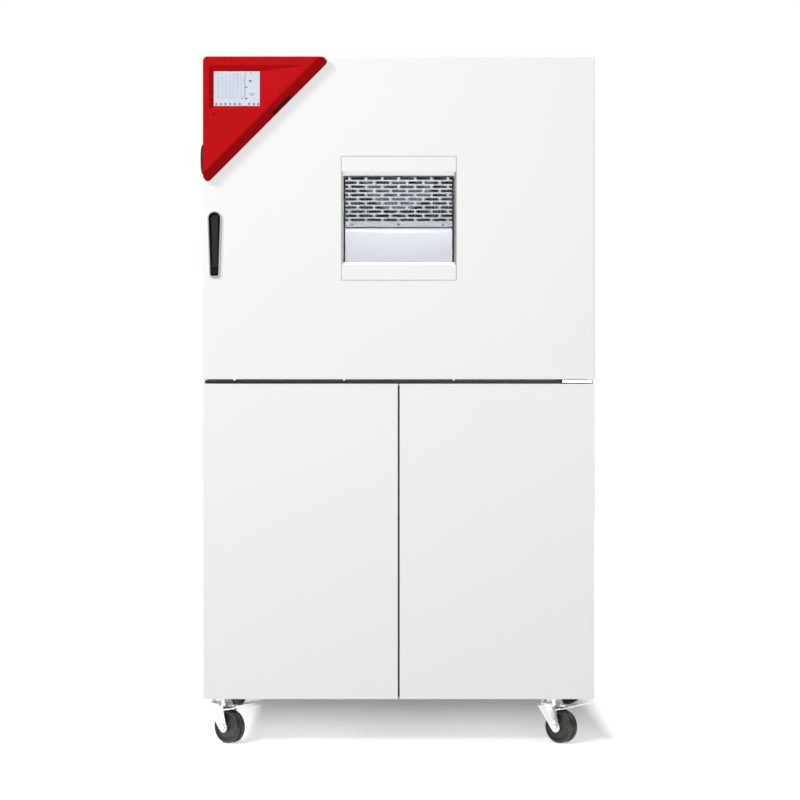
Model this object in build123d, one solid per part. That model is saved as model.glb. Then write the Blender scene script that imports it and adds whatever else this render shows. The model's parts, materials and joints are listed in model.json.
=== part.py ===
from build123d import *
import math
import os

# Environmental test chamber on castors
# Frame: origin on the ground under the centre of the object, +Z up, the door faces -Y,
# +X is to the right of someone who stands in front of it. Millimetres.

# Overall sizes
cabinet_width = 885.0
cabinet_depth = 880.0
castor_height = 106.5
service_door_height = 713.0
door_gap = 10.5
door_height = 727.5

# Sheet, wall and clearance values
sheet = 1.5
liner_sheet = 1.0
flange = 20.0
fit = 0.3
running_fit = 0.05
overcut = 1.0

# Upper door
door_thickness = 60.0
door_standoff = 6.0
door_pin_from_side = 12.5
door_pin_from_front = 20.0
hinge_pin_radius = 5.0
hinge_arm_thickness = 5.5
hinge_arm_gap = 2.0
hinge_arm_margin = 7.0
hinge_arm_inset = 22.5
hinge_bush_wall = 4.0
hinge_bush_length = 30.0
notch_width = 82.0
notch_height = 12.0

# Window in the upper door
window_width = 260.0
window_height = 280.0
window_sight_height = 210.0
pane_thickness = 5.0
tunnel_wall = 4.0
pane_count = 3
inner_frame_margin = 10.0
seal_opening_margin = 15.0
seal_width = 14.0

# Handle
handle_from_side = 26.0
handle_above_door = 230.0
handle_length = 150.0
handle_top_radius = 16.25
handle_bottom_half = 12.0
handle_corner = 6.0
handle_rim = 3.0
handle_depth = 36.0
handle_wall = 1.5
handle_floor = 2.0
foam_margin = 4.0
lever_thickness = 8.0
lever_half_width = 7.0
lever_top_gap = 8.0
lever_foot_gap = 24.0
lever_lip = 5.0
lever_lip_height = 6.0
lever_pivot_drop = 16.0
lever_pivot_depth = 12.0
lever_pin_radius = 3.0
release_radius = 5.0
release_gap = 2.0

# Catch of the upper door
catch_width = 34.0
catch_height = 60.0
catch_depth = 24.0
catch_above_door = 350.0
roller_radius = 4.0
tongue_thickness = 8.0
tongue_reach = 14.0
tongue_foot = 5.0

# Controller
controller_width = 293.0
controller_height = 294.0
controller_inset = 1.0
controller_rise = 16.0
controller_flank = 22.0
controller_tip_radius = 10.3
pocket_depth = 6.0
pocket_margin = 14.0
pocket_flank_margin = 5.5
pocket_height = 100.0
pocket_top_margin = 20.0
pocket_taper = 30.0
screen_width = 104.0
screen_height = 78.0
screen_inset = 9.0
screen_thickness = 2.0
flank_slot_length = 56.0
flank_slot_width = 6.0
flank_slot_place = 0.335

# Service doors
leaf_thickness = 25.0
leaf_standoff = 5.0
leaf_seam = 4.0
leaf_pin_from_side = 10.0
leaf_pin_radius = 4.0
leaf_notch_width = 46.0
leaf_block = 16.0
leaf_arm_margin = 6.0
leaf_arm_reach = 22.0
magnet_width = 30.0
magnet_height = 60.0
magnet_from_seam = 5.0
centre_post_half = 38.0

# Chamber
chamber_width = 600.0
chamber_height = 480.0
chamber_floor = 954.0
machine_depth = 212.0
plenum_depth = 110.0
rear_foam = 90.0
collar_sheet = 2.0
chamber_sheet = 1.5

# Air baffle
slot_length = 35.0
slot_height = 6.6
slot_pitch_x = 40.0
slot_pitch_z = 10.1
slot_rows = 11
slots_per_row = 12
lowest_slot_rise = 17.0
baffle_height = 232.5
baffle_lip = 15.0
probe_x = 116.0
probe_from_ceiling = 59.0
probe_radius = 7.0
probe_flange = 10.0
probe_flange_depth = 3.0
probe_reach = 26.0
probe_tail = 13.0

# Circulation fan and its motor
fan_from_ceiling = 104.0
fan_radius = 88.0
fan_hub = 22.0
fan_depth = 34.0
fan_ring_width = 17.0
fan_blade_count = 7
fan_blade_turn = 35.0
fan_front_gap = 26.0
shaft_radius = 6.0
shaft_hole = 9.0
motor_tube_radius = 20.0
motor_radius = 48.0
motor_length = 90.0
motor_flange_radius = 60.0
motor_flange_depth = 4.5

# Heater and evaporator
heater_radius = 4.0
heater_half = 190.0
heater_rise = 14.0
heater_bend = 16.0
tube_side_count = 8
evaporator_height = 190.0
evaporator_depth = 62.0
evaporator_groove_count = 24
fin_groove = 20.0
fin_edge = 4.0

# Shelf
strip_width = 16.0
strip_thickness = 3.0
strip_from_ends = 40.0
strip_hole_pitch = 40.0
strip_from_front = 70.0
strip_from_baffle = 70.0
shelf_height = 60.0
bracket_leg = 14.0
wire_radius = 2.0
rim_radius = 3.5
wire_pitch = 36.0

# Chamber lamp
lamp_half = 170.0
lamp_radius = 8.0
lamp_from_front = 34.0

# Access port
port_from_front = 260.0
port_from_ceiling = 86.0
port_radius = 25.0
port_wall = 3.0
plug_radius = 35.5
plug_reach = 24.0
plug_edge = 13.0
plug_crown = 28.0
plug_length = 80.0
plug_gap = 0.9

# Base frame and posts
tube = 40.0
post = 30.0

# Rear cover
louvre_count = 9
louvre_width = 220.0
louvre_height = 14.0
louvre_pitch = 30.0
louvre_depth = 9.0
louvre_rise = 143.5
louvre_from_middle = 170.0
gland_radius = 13.0
gland_nut_depth = 7.0
gland_reach = 14.0
gland_collar = 9.0
gland_bore = 5.0
gland_bore_start = 2.0
gland_from_side = 110.0
gland_rise = 80.0
spacer_radius = 15.0
spacer_reach = 16.0
spacer_from_side = 60.0
spacer_low_rise = 120.0
spacer_top_drop = 80.0

# Castors
wheel_radius = 37.5
wheel_width = 32.0
wheel_trail = 27.0
tread_groove = 5.0
groove_half = 2.5
tread_half = 12.0
hub_boss_radius = 10.0
castor_plate_length = 100.0
castor_plate_width = 84.0
castor_plate_thickness = 4.0
castor_head_radius = 25.0
castor_head_step = 21.5
fork_top = 84.0
fork_gap = 2.5
fork_thickness = 3.0
head_step_height = 8.0
head_gap = 0.3
kingpin_radius = 6.0
kingpin_tail = 5.0
axle_radius = 5.0
axle_boss = 12.0
axle_nut = 7.5
axle_nut_depth = 5.0
castor_from_side = {"fl": 36.5, "fr": 91.5, "rl": 38.5, "rr": 36.5}
castor_turns = {"fl": -42.0, "fr": -42.0, "rl": -109.0, "rr": -23.0}
front_castor_from_front = 77.0
rear_castor_from_rear = 95.0

# Brake pedals
pedal_pivot = (14.0, 79.0)
pedal_bend = 42.0
pedal_tip = (96.0, 93.0)
pedal_thickness = 2.0
pedal_width = 30.0
pedal_pin_radius = 2.0

# Compressors and receiver
compressor_radius = 84.0
compressor_height = 210.0
compressor_cap_radius = 68.0
compressor_cap_height = 24.0
high_stage_from_side = 226.0
high_stage_y = 110.0
low_stage_from_side = 251.0
low_stage_y = 60.0
mount_height = 14.0
mount_radius = 9.0
foot_half_length = 100.0
foot_half_width = 60.0
foot_sheet = 3.0
mount_reach = (85.0, 45.0)
receiver_radius = 42.0
receiver_height = 230.0
receiver_cap_radius = 32.0
receiver_cap_height = 14.0
receiver_foot = 10.0
receiver_place = (-60.0, -60.0)

# Condenser and its fan
condenser_from_side = 161.0
condenser_z = (215.0, 545.0)
condenser_depth = 50.0
condenser_gap = 22.0
condenser_groove_count = 22
condenser_groove = 16.0
shroud_depth = 40.0
fan_opening = 132.0
fan_clearance = 8.0
bracket_from_opening = 6.0
bracket_width = 14.0
bracket_height = 24.0
bracket_sheet = 3.0
cooling_hub = 40.0
cooling_hub_depth = 18.0
cooling_hub_gap = 16.0
cooling_blade_count = 5
cooling_blade_pitch = 28.0
cooling_motor_radius = 36.0
cooling_motor_back = 20.0
cooling_motor_front = 14.0
cooling_bore_depth = 24.0
cooling_shaft_depth = 8.0

# Pipes and tray
pipe_radius = 6.0
pipe_bend = 24.0
pipe_side_run = 40.0
pipe_top_run = 110.0
pipe_can_rise = 147.0
drier_radius = 16.0
drier_length = 90.0
tray_size = (300.0, 190.0, 36.0)
tray_from_middle = 60.0
tray_from_front = 78.5

# Electrical box
box_width = 250.0
box_depth = 120.0
box_z = (330.0, 760.0)
box_lid_margin = 12.0
box_lid_depth = 4.5
box_gap = 4.8
box_gland_count = 4
box_gland_radius = 10.0
box_gland_length = 14.0

# Service connections
service_gap = 5.0
service_margin = 12.0
service_width = 150.0
service_bottom = 985.0
service_height = 235.0
switch_radius = 19.0
switch_base_radius = 24.0
switch_base_depth = 5.0
switch_disc_depth = 7.0
switch_bar_half = 4.5
switch_reach = 24.0
socket_radius = 24.0
socket_rim = 3.0
socket_rim_depth = 6.0
socket_depth = 40.0

# Places worked out from the sizes
x_side = cabinet_width / 2
x_in = x_side - sheet
y_front = -cabinet_depth / 2
y_rear = cabinet_depth / 2
z_leaf = castor_height
z_leaf_top = z_leaf + service_door_height
z_door = z_leaf_top + door_gap
z_top = z_door + door_height
y_door_back = y_front + door_thickness
y_collar = y_door_back + door_standoff
y_leaf_back = y_front + leaf_thickness
y_body = y_leaf_back + leaf_standoff
z_frame_top = castor_height + tube
z_floor = z_frame_top + sheet
z_deck = z_leaf_top - sheet
z_ceiling = chamber_floor + chamber_height
y_liner = y_collar + collar_sheet
y_foam_back = y_rear - machine_depth
y_liner_back = y_foam_back - rear_foam
y_baffle = y_liner_back - plenum_depth
x_pin = x_side - door_pin_from_side
y_pin = y_front + door_pin_from_front
window_z = (z_door + z_top) / 2
y_port = y_front + port_from_front
port_height = z_ceiling - port_from_ceiling
baffle_bottom = z_ceiling - baffle_height
fan_z = z_ceiling - fan_from_ceiling
probe_z = z_ceiling - probe_from_ceiling
handle_x = -x_side + handle_from_side
handle_bottom = z_door + handle_above_door
catch_z = z_door + catch_above_door
pin_hole_z = handle_bottom + handle_length / 2
post_front = y_body + flange
post_back = y_rear - sheet - flange
frame_x = (-x_in, x_in)
frame_y = (y_body + sheet, y_rear - sheet)
cross_bars_x = (-tube / 2, tube / 2)
door_x = (-x_side, x_side)
door_y = (y_front, y_door_back)
door_z = (z_door, z_top)
window_x = (-window_width / 2, window_width / 2)
window_span_z = (window_z - window_height / 2, window_z + window_height / 2)
sight_x = (window_x[0] + tunnel_wall, window_x[1] - tunnel_wall)
sight_z = (window_z - window_sight_height / 2, window_z + window_sight_height / 2)
pane_back = y_front + pane_thickness
notch_z = z_top - notch_height
top_arm_z = (notch_z + hinge_arm_gap, notch_z + hinge_arm_gap + hinge_arm_thickness)
low_arm_z = (z_door - hinge_arm_gap - hinge_arm_thickness, z_door - hinge_arm_gap)
corner_x = -x_side + controller_inset
tip_right = (corner_x + controller_width, z_top)
tip_low = (corner_x, z_top - controller_height)
y_rise = y_front - controller_rise
slant = math.atan2(controller_height, controller_width)
condenser_half = x_in - condenser_from_side
compressor_places = {
    "compressor_high_stage": (high_stage_from_side - x_in, high_stage_y),
    "compressor_low_stage": (x_in - low_stage_from_side, low_stage_y),
}
condenser_back = y_rear - sheet - condenser_gap
shroud_front = condenser_back - condenser_depth - shroud_depth
arm_front = shroud_front - shroud_depth
tray_place = (tray_from_middle, frame_y[0] + tray_from_front)


def block(x, y, z):
    """A box from three (low, high) pairs."""
    size = (x[1] - x[0], y[1] - y[0], z[1] - z[0])
    return Pos(sum(x) / 2, sum(y) / 2, sum(z) / 2) * Box(*size)


def pan(x, y, z, wall, open_to):
    """A folded sheet box with one open side, such as +y."""
    room = [[low + wall, high - wall] for low, high in (x, y, z)]
    axis = "xyz".index(open_to[1])
    end = 1 if open_to[0] == "+" else 0
    room[axis][end] = (x, y, z)[axis][end]
    return block(x, y, z) - block(*room)


def tube_ring(x, y, z, width):
    """A rectangular ring that lies flat, with bars of one width."""
    inner = ((x[0] + width, x[1] - width), (y[0] + width, y[1] - width), z)
    return block(x, y, z) - block(*inner)


def upright_ring(x, y, z, width_x, width_z):
    """A rectangular ring that stands in an XZ plane."""
    inner = ((x[0] + width_x, x[1] - width_x), y, (z[0] + width_z, z[1] - width_z))
    return block(x, y, z) - block(*inner)


def rod_x(x, y, z, radius):
    """A round bar along X from x[0] to x[1]."""
    return Pos(sum(x) / 2, y, z) * Rot(0, 90, 0) * Cylinder(radius, x[1] - x[0])


def rod_y(x, y, z, radius):
    """A round bar along Y from y[0] to y[1]."""
    return Pos(x, sum(y) / 2, z) * Rot(90, 0, 0) * Cylinder(radius, y[1] - y[0])


def rod_z(x, y, z, radius):
    """A round bar along Z from z[0] to z[1]."""
    return Pos(x, y, sum(z) / 2) * Cylinder(radius, z[1] - z[0])


def wire_y(x, y, z, radius):
    """A thin wire along Y, drawn with six flats."""
    plane = Plane(origin=(x, y[0], z), x_dir=(1, 0, 0), z_dir=(0, 1, 0))
    return extrude(plane * RegularPolygon(radius, 6), amount=y[1] - y[0])


def group(*shapes):
    """One node of separate solids."""
    return Compound([solid for shape in shapes for solid in shape.solids()])


# Cabinet structure


def base_frame():
    """A welded ring of square tube with a cross bar and pads for the castors."""
    z = (castor_height, z_frame_top)
    frame = tube_ring(frame_x, frame_y, z, tube)
    frame += block(cross_bars_x, (frame_y[0] + tube, frame_y[1] - tube), z)
    pad_z = (castor_height, castor_height + castor_plate_thickness)
    for x, y in castor_places():
        reach_x = castor_plate_length / 2
        low = max(x - reach_x, -x_in)
        high = min(x + reach_x, x_in)
        near_y = sorted((y - reach_x, y + reach_x))
        near_y[0] = max(near_y[0], frame_y[0])
        near_y[1] = min(near_y[1], frame_y[1])
        frame += block((low, high), near_y, pad_z)
    return frame


def castor_places():
    """The pivots of the four castors, front left first."""
    places = []
    for name, inset in castor_from_side.items():
        x = x_side - inset if name[1] == "r" else inset - x_side
        y = y_front + front_castor_from_front if name[0] == "f" else y_rear - rear_castor_from_rear
        places.append((x, y))
    return places


def corner_posts():
    """Four upright tubes from the base frame to the deck."""
    z = (z_frame_top + sheet, z_deck - sheet)
    posts = []
    for side in (-1, 1):
        x = sorted((side * (x_in - flange), side * (x_in - flange - post)))
        posts.append(block(x, (post_front, post_front + post), z))
        posts.append(block(x, (post_back - post, post_back), z))
    return group(*posts)


def machine_floor():
    """The sheet on the base frame that carries the cooling plant."""
    return block(frame_x, frame_y, (z_frame_top, z_frame_top + sheet))


def deck():
    """The folded sheet under the chamber, with its edges turned down on the posts."""
    return block((-x_in, x_in), (y_body + sheet, y_rear - sheet), (z_deck - sheet, z_deck))


def side_panel(side):
    """A full height side sheet, stepped behind the doors, with its edges turned in."""
    step = Polyline(
        (y_body, castor_height),
        (y_rear, castor_height),
        (y_rear, z_top),
        (y_collar, z_top),
        (y_collar, z_leaf_top + fit),
        (y_body, z_leaf_top + fit),
        close=True,
    )
    face = make_face(Plane.YZ * step)
    thickness = -side * sheet
    plate = Pos(side * x_side, 0, 0) * extrude(face, amount=thickness, dir=(1, 0, 0))
    x = sorted((side * x_side, side * (x_in - flange)))
    front = block(x, (y_body, y_body + sheet), (castor_height, z_leaf_top + fit))
    back = block(x, (y_rear - sheet, y_rear), (castor_height, z_top))
    plate += front + back
    if side < 0:
        bore = port_radius + port_wall
        plate -= rod_x((-x_side - sheet, -x_in + sheet), y_port, port_height, bore)
    else:
        x_cut = (x_in - sheet, x_side + sheet)
        plate -= block(x_cut, service_plate_y(), service_plate_z())
    return plate


def top_cover():
    """The lid of the cabinet, behind the top edge of the door."""
    x = (-x_in, x_in)
    y = (y_collar, y_rear - sheet)
    return pan(x, y, (z_top - flange, z_top), sheet, "-z")


def rear_cover():
    """The back sheet, with two columns of pressed louvres beside the condenser."""
    x = (-x_in + flange, x_in - flange)
    y = (y_rear - sheet, y_rear)
    plate = block(x, y, (castor_height, z_top - sheet))
    for side in (-1, 1):
        left = side * louvre_from_middle - louvre_width / 2
        for row in range(louvre_count):
            z = castor_height + louvre_rise + row * louvre_pitch
            profile = Polyline(
                (y_rear - sheet, z + louvre_height),
                (y_rear + louvre_depth, z),
                (y_rear + louvre_depth - sheet, z),
                (y_rear - sheet, z + louvre_height - 2 * sheet),
                close=True,
            )
            hood = extrude(make_face(Plane.YZ * profile), amount=louvre_width, dir=(1, 0, 0))
            gap_z = (z, z + louvre_height - sheet)
            plate -= block((left, left + louvre_width), (y[0] - sheet, y[1] + sheet), gap_z)
            plate += Pos(left, 0, 0) * hood
    return plate


def front_divider():
    """The dark recessed strip between the upper door and the service doors."""
    x = (-x_in + fit, x_in - fit)
    strip = block(x, (y_body, y_collar + collar_sheet), (z_leaf_top + fit, z_door - 2 * sheet))
    arm_x, arm_y, arm_z = arm_spans()
    gap_z = (arm_z[0] - fit, arm_z[1] + fit)
    return strip - block((arm_x[0] - fit, arm_x[1] + fit), (arm_y[0], arm_y[1] + fit), gap_z)


def arm_spans():
    """The spans of the lower hinge arm of the door."""
    x = (x_pin - notch_width + hinge_arm_inset, x_pin + hinge_arm_margin)
    return x, (y_pin - hinge_arm_margin - overcut, y_collar), low_arm_z


def front_collar():
    """The front plate of the body, round the mouth of the chamber."""
    y = (y_collar, y_liner)
    plate = block((-x_in, x_in), y, (z_door - 2 * sheet, z_top - flange))
    mouth_z = (chamber_floor, z_ceiling)
    plate -= block((-chamber_width / 2, chamber_width / 2), (y[0] - sheet, y[1] + sheet), mouth_z)
    plate -= catch_pocket()
    return plate


# Chamber
def catch_pocket():
    """The recess in the body for the roller catch."""
    x = (handle_x - catch_width / 2, handle_x + catch_width / 2)
    z = (catch_z - catch_height / 2, catch_z + catch_height / 2)
    return block(x, (y_collar - sheet, y_collar + catch_depth), z)


def chamber_liner():
    """The drawn steel tank of the test space and the air duct behind it."""
    x = (-chamber_width / 2 - liner_sheet, chamber_width / 2 + liner_sheet)
    z = (chamber_floor - liner_sheet, z_ceiling + liner_sheet)
    tank = pan(x, (y_liner, y_liner_back + liner_sheet), z, liner_sheet, "-y")
    tank -= rod_x((x[0] - sheet, x[0] + 2 * sheet), y_port, port_height, port_radius + port_wall)
    tank -= rod_y(0, (y_liner_back - sheet, y_liner_back + 2 * sheet), fan_z, shaft_hole)
    return tank


def chamber_foam():
    """The insulation block that fills the upper cabinet round the tank."""
    x = (-x_in + fit, x_in - fit)
    z = (z_deck + fit, z_top - flange)
    room_x = (-chamber_width / 2 - liner_sheet, chamber_width / 2 + liner_sheet)
    room_z = (chamber_floor - liner_sheet, z_ceiling + liner_sheet)
    foam = block(x, (y_liner, y_foam_back), z)
    foam -= block(room_x, (y_liner - sheet, y_liner_back + liner_sheet), room_z)
    foam -= rod_x((x[0] - sheet, room_x[0] + sheet), y_port, port_height, port_radius + port_wall)
    foam -= rod_y(0, (y_liner_back, y_foam_back + sheet), fan_z, motor_tube_radius)
    foam -= catch_pocket()
    return foam


def slot_wire(x, z):
    """The outline of one slot, with each round end drawn in two flats."""
    half = slot_height / 2
    tip = slot_length / 2
    flat = tip - half
    corners = [(flat, half), (tip, 0), (flat, -half), (-flat, -half), (-tip, 0), (-flat, half)]
    return Wire.make_polygon([(x + u, y_baffle, z + v) for u, v in corners])


def air_baffle():
    """The slotted sheet in front of the fan, with staggered rows of slots."""
    half = chamber_width / 2 - fit
    top = z_ceiling - fit
    edge = [(-half, baffle_bottom), (half, baffle_bottom), (half, top), (-half, top)]
    outline = Wire.make_polygon([(x, y_baffle, z) for x, z in edge])
    holes = []
    for row in range(slot_rows):
        count = slots_per_row - row % 2
        first = -(count - 1) / 2 * slot_pitch_x
        z = baffle_bottom + lowest_slot_rise + row * slot_pitch_z
        holes += [slot_wire(first + column * slot_pitch_x, z) for column in range(count)]
    plate = extrude(Face(outline, holes), amount=chamber_sheet, dir=(0, 1, 0))
    return plate - rod_y(probe_x, (y_baffle - sheet, y_baffle + 2 * sheet), probe_z, probe_radius)


def temperature_probe():
    """The dark sensor head in its grommet."""
    y = (y_baffle - probe_reach, y_baffle + probe_tail)
    head = rod_y(probe_x, y, probe_z, probe_radius - running_fit)
    return head + rod_y(probe_x, (y_baffle - probe_flange_depth, y_baffle), probe_z, probe_flange)


def lower_air_panel():
    """The plain sheet below the slots, with its top edge rolled back behind them."""
    x = (-chamber_width / 2 + fit, chamber_width / 2 - fit)
    roll_z = baffle_bottom - baffle_lip
    plate = block(x, (y_baffle, y_baffle + chamber_sheet), (chamber_floor, roll_z))
    y_axis = y_baffle + chamber_sheet + baffle_lip
    roll = rod_x(x, y_axis, roll_z, baffle_lip + chamber_sheet) - rod_x(x, y_axis, roll_z, baffle_lip)
    corner = block(x, (y_baffle, y_axis), (roll_z, roll_z + 2 * baffle_lip))
    return plate + (roll & corner)


def circulation_fan():
    """A fan wheel with leaning blades between a back plate and a ring, and its shaft."""
    y0 = y_baffle + fan_front_gap
    y1 = y0 + fan_depth
    wheel = rod_y(0, (y1, y1 + chamber_sheet), fan_z, fan_radius)
    wheel += rod_y(0, (y0, y1), fan_z, fan_hub)
    ring = rod_y(0, (y0, y0 + chamber_sheet), fan_z, fan_radius)
    wheel += ring - rod_y(0, (y0, y0 + chamber_sheet), fan_z, fan_radius - fan_ring_width)
    length = fan_radius - fan_hub - fit
    blade_y = (y0 + chamber_sheet / 2, y1 + chamber_sheet / 2)
    for index in range(fan_blade_count):
        root = Rot(0, 360 / fan_blade_count * index, 0) * Pos(fan_hub - sheet, 0, 0)
        blade = root * Rot(0, fan_blade_turn, 0) * block((0, length), blade_y, (0, chamber_sheet))
        wheel += Pos(0, 0, fan_z) * blade
    return wheel + rod_y(0, (y1, y_foam_back + motor_length / 2), fan_z, shaft_radius)


def fan_motor():
    """The motor on the back of the insulation, with its flange and a shaft bore."""
    y0 = y_foam_back
    body = rod_y(0, (y0, y0 + motor_length), fan_z, motor_radius)
    body += rod_y(0, (y0, y0 + motor_flange_depth), fan_z, motor_flange_radius)
    return body - rod_y(0, (y0, y0 + motor_length / 2), fan_z, shaft_radius + running_fit)


def pipe(points, bend, radius):
    """A bent tube through the points, drawn with eight flats."""
    path = FilletPolyline(*points, radius=bend)
    start = Plane(origin=path @ 0, z_dir=path % 0)
    return sweep(start * RegularPolygon(radius, tube_side_count), path=path)


def heater():
    """A bent heating rod across the air duct, with both ends in the back wall."""
    y = y_baffle + plenum_depth / 2
    z = baffle_bottom + heater_rise
    points = [
        (-heater_half, y_liner_back, z),
        (-heater_half, y, z),
        (heater_half, y, z),
        (heater_half, y_liner_back, z),
    ]
    return pipe(points, heater_bend, heater_radius)


def finned_block(x, y, z, grooves, groove_depth):
    """A block of fins, drawn as deep grooves in its two faces, with end plates."""
    core = block(x, y, z)
    pitch = (x[1] - x[0]) / (grooves + 1)
    inner_z = (z[0] + fin_edge, z[1] - fin_edge)
    for index in range(grooves):
        middle = x[0] + pitch * (index + 1)
        span = (middle - pitch / 4, middle + pitch / 4)
        core -= block(span, (y[0] - overcut, y[0] + groove_depth), inner_z)
        core -= block(span, (y[1] - groove_depth, y[1] + overcut), inner_z)
    return core


def evaporator():
    """The finned cooling coil in the duct behind the plain sheet."""
    x = (-chamber_width / 2 + fit, chamber_width / 2 - fit)
    y0 = y_baffle + baffle_lip * 2
    y = (y0, y0 + evaporator_depth)
    z = (chamber_floor + fit, chamber_floor + evaporator_height)
    return finned_block(x, y, z, evaporator_groove_count, fin_groove)


def strip_places():
    """The middles of the front and rear shelf strips along the depth."""
    return (y_liner + strip_from_front, y_baffle - strip_from_baffle)


def shelf_strips():
    """Four punched strips on the side walls that the shelf brackets hook into."""
    strips = []
    z = (chamber_floor + strip_from_ends, z_ceiling - strip_from_ends)
    hole_count = int((z[1] - z[0]) / strip_hole_pitch)
    for side in (-1, 1):
        x = sorted((side * chamber_width / 2, side * (chamber_width / 2 - strip_thickness)))
        for place in strip_places():
            strip = block(x, (place - strip_width / 2, place + strip_width / 2), z)
            for index in range(hole_count):
                low = z[0] + strip_hole_pitch * (index + 1 / 2)
                hole_y = (place - strip_width / 6, place + strip_width / 6)
                strip -= block((x[0] - overcut, x[1] + overcut), hole_y, (low, low + strip_width / 2))
            strips.append(strip)
    return group(*strips)


def shelf_brackets():
    """Two angle rails that lie between the strips and carry the shelf."""
    rails = []
    z = chamber_floor + shelf_height
    y = (strip_places()[0] - strip_width, strip_places()[1] + strip_width)
    for side in (-1, 1):
        wall = side * (chamber_width / 2 - strip_thickness)
        leg = sorted((wall, wall - side * sheet))
        foot = sorted((wall, wall - side * bracket_leg))
        rail = block(leg, y, (z - bracket_leg, z)) + block(foot, y, (z - sheet, z))
        rails.append(rail)
    return group(*rails)


def wire_shelf():
    """A shelf of steel wire welded to a round rim."""
    half = chamber_width / 2 - strip_thickness - sheet - rim_radius
    y = (strip_places()[0] - strip_width, strip_places()[1] + strip_width)
    z = chamber_floor + shelf_height + rim_radius
    shelf = rod_x((-half, half), y[0], z, rim_radius) + rod_x((-half, half), y[1], z, rim_radius)
    shelf += rod_y(-half + rim_radius, y, z, rim_radius) + rod_y(half - rim_radius, y, z, rim_radius)
    count = int(2 * half / wire_pitch)
    first = -(count - 1) / 2 * wire_pitch
    for index in range(count):
        shelf += wire_y(first + index * wire_pitch, y, z, wire_radius)
    return shelf


def chamber_lamp():
    """A light bar with end holders on the ceiling of the test space."""
    y = y_liner + lamp_from_front
    z = z_ceiling - lamp_radius * 3 / 2
    lamp = rod_x((-lamp_half, lamp_half), y, z, lamp_radius)
    for side in (-1, 1):
        x = sorted((side * lamp_half, side * (lamp_half + lamp_radius)))
        lamp += block(x, (y - lamp_radius, y + lamp_radius), (z - lamp_radius, z_ceiling))
    return lamp


def port_tube():
    """The steel tube of the access port, through the side panel, foam and tank."""
    x = (-x_side, -chamber_width / 2 - liner_sheet)
    outer = rod_x(x, y_port, port_height, port_radius + port_wall)
    return outer - rod_x((x[0] - overcut, x[1] + overcut), y_port, port_height, port_radius)


def port_plug():
    """The rubber plug of the port, with a stepped cap outside and a body in the tube."""
    edge_x = -x_side - fit - plug_edge
    plug = rod_x((-x_side - fit, -x_side + plug_length), y_port, port_height, port_radius - plug_gap)
    plug += rod_x((edge_x, -x_side - fit), y_port, port_height, plug_radius)
    return plug + rod_x((-x_side - plug_reach, edge_x), y_port, port_height, plug_crown)


# Upper door


def handle_outline(inset):
    """The handle's outline: a round top and a narrower bottom with round corners."""
    radius = handle_top_radius - inset
    corner = handle_corner - inset / 2
    top = Pos(handle_x, handle_bottom + handle_length - handle_top_radius) * Circle(radius)
    outline = Sketch() + top
    for side in (-1, 1):
        x = handle_x + side * (handle_bottom_half - inset - corner)
        outline += Pos(x, handle_bottom + inset + corner) * Circle(corner)
    return make_hull(outline.edges())


def standing(y, outline, depth):
    """An outline in the XZ plane at y, made solid towards the back."""
    plane = Plane(origin=(0, y, 0), x_dir=(1, 0, 0), z_dir=(0, -1, 0))
    return extrude(plane * outline, amount=depth, dir=(0, 1, 0))


def hinge_notch():
    """The space in the top corner of the door where the fixed arm turns."""
    x = (x_side - notch_width, x_side + sheet)
    return block(x, (y_front + sheet, y_door_back + overcut), (notch_z, z_top + overcut))


def bush_places():
    """The spans of the two bushes that the door turns on."""
    return ((z_door, z_door + hinge_bush_length), (notch_z - hinge_bush_length, notch_z))


def door_cuts():
    """What passes through both the skin and the foam of the door."""
    bush_radius = hinge_pin_radius + running_fit + hinge_bush_wall
    cuts = []
    for low, high in bush_places():
        cuts.append(rod_z(x_pin, y_pin, (low - overcut, high + overcut), bush_radius))
    return cuts + [hinge_notch()]


def handle_opening():
    """The hole for the handle's pocket."""
    return standing(y_front - overcut, handle_outline(handle_rim), handle_depth + overcut)


def handle_room():
    """The square-cut room in the foam round the handle's pocket."""
    reach = handle_top_radius - handle_rim + foam_margin
    z = (handle_bottom + handle_rim - foam_margin, handle_bottom + handle_length - handle_rim + foam_margin)
    return block((handle_x - reach, handle_x + reach), (y_front, y_front + handle_depth), z)


def door_skin():
    """The folded front sheet of the door with openings for window, handle and hinges."""
    skin = pan(door_x, door_y, door_z, sheet, "+y")
    edges = skin.edges().filter_by(Axis.Z).group_by(Axis.Y)[0].sort_by(Axis.X)
    skin = fillet([edges[0], edges[-1]], sheet)
    skin -= block(window_x, (y_front - overcut, y_front + 2 * sheet), window_span_z)
    for cut in [*door_cuts(), handle_opening()]:
        skin -= cut
    return skin


def door_foam():
    """The insulation of the door, hollow where the window and the handle are."""
    x = (door_x[0] + sheet, door_x[1] - sheet)
    y = (y_front + sheet, y_door_back - liner_sheet)
    foam = block(x, y, (door_z[0] + sheet, door_z[1] - sheet))
    foam -= block(window_x, (y[0] - overcut, y[1] + overcut), sight_z)
    foam -= block(window_x, (y[0] - overcut, pane_back + sheet), window_span_z)
    for cut in [*door_cuts(), handle_room()]:
        foam -= cut
    return foam - release_pin_hole(y[1] + overcut)


def door_liner():
    """The steel sheet on the inner face of the door."""
    x = (door_x[0] + sheet, door_x[1] - sheet)
    y = (y_door_back - liner_sheet, y_door_back)
    plate = block(x, y, (door_z[0] + sheet, door_z[1] - notch_height - sheet))
    plate -= block(window_x, (y[0] - overcut, y[1] + overcut), sight_z)
    return plate - release_pin_hole(y[1] + overcut)


def outer_pane():
    """The flush outer pane of the window."""
    x = (window_x[0] + fit, window_x[1] - fit)
    z = (window_span_z[0] + fit, window_span_z[1] - fit)
    return block(x, (y_front, pane_back), z)


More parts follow.
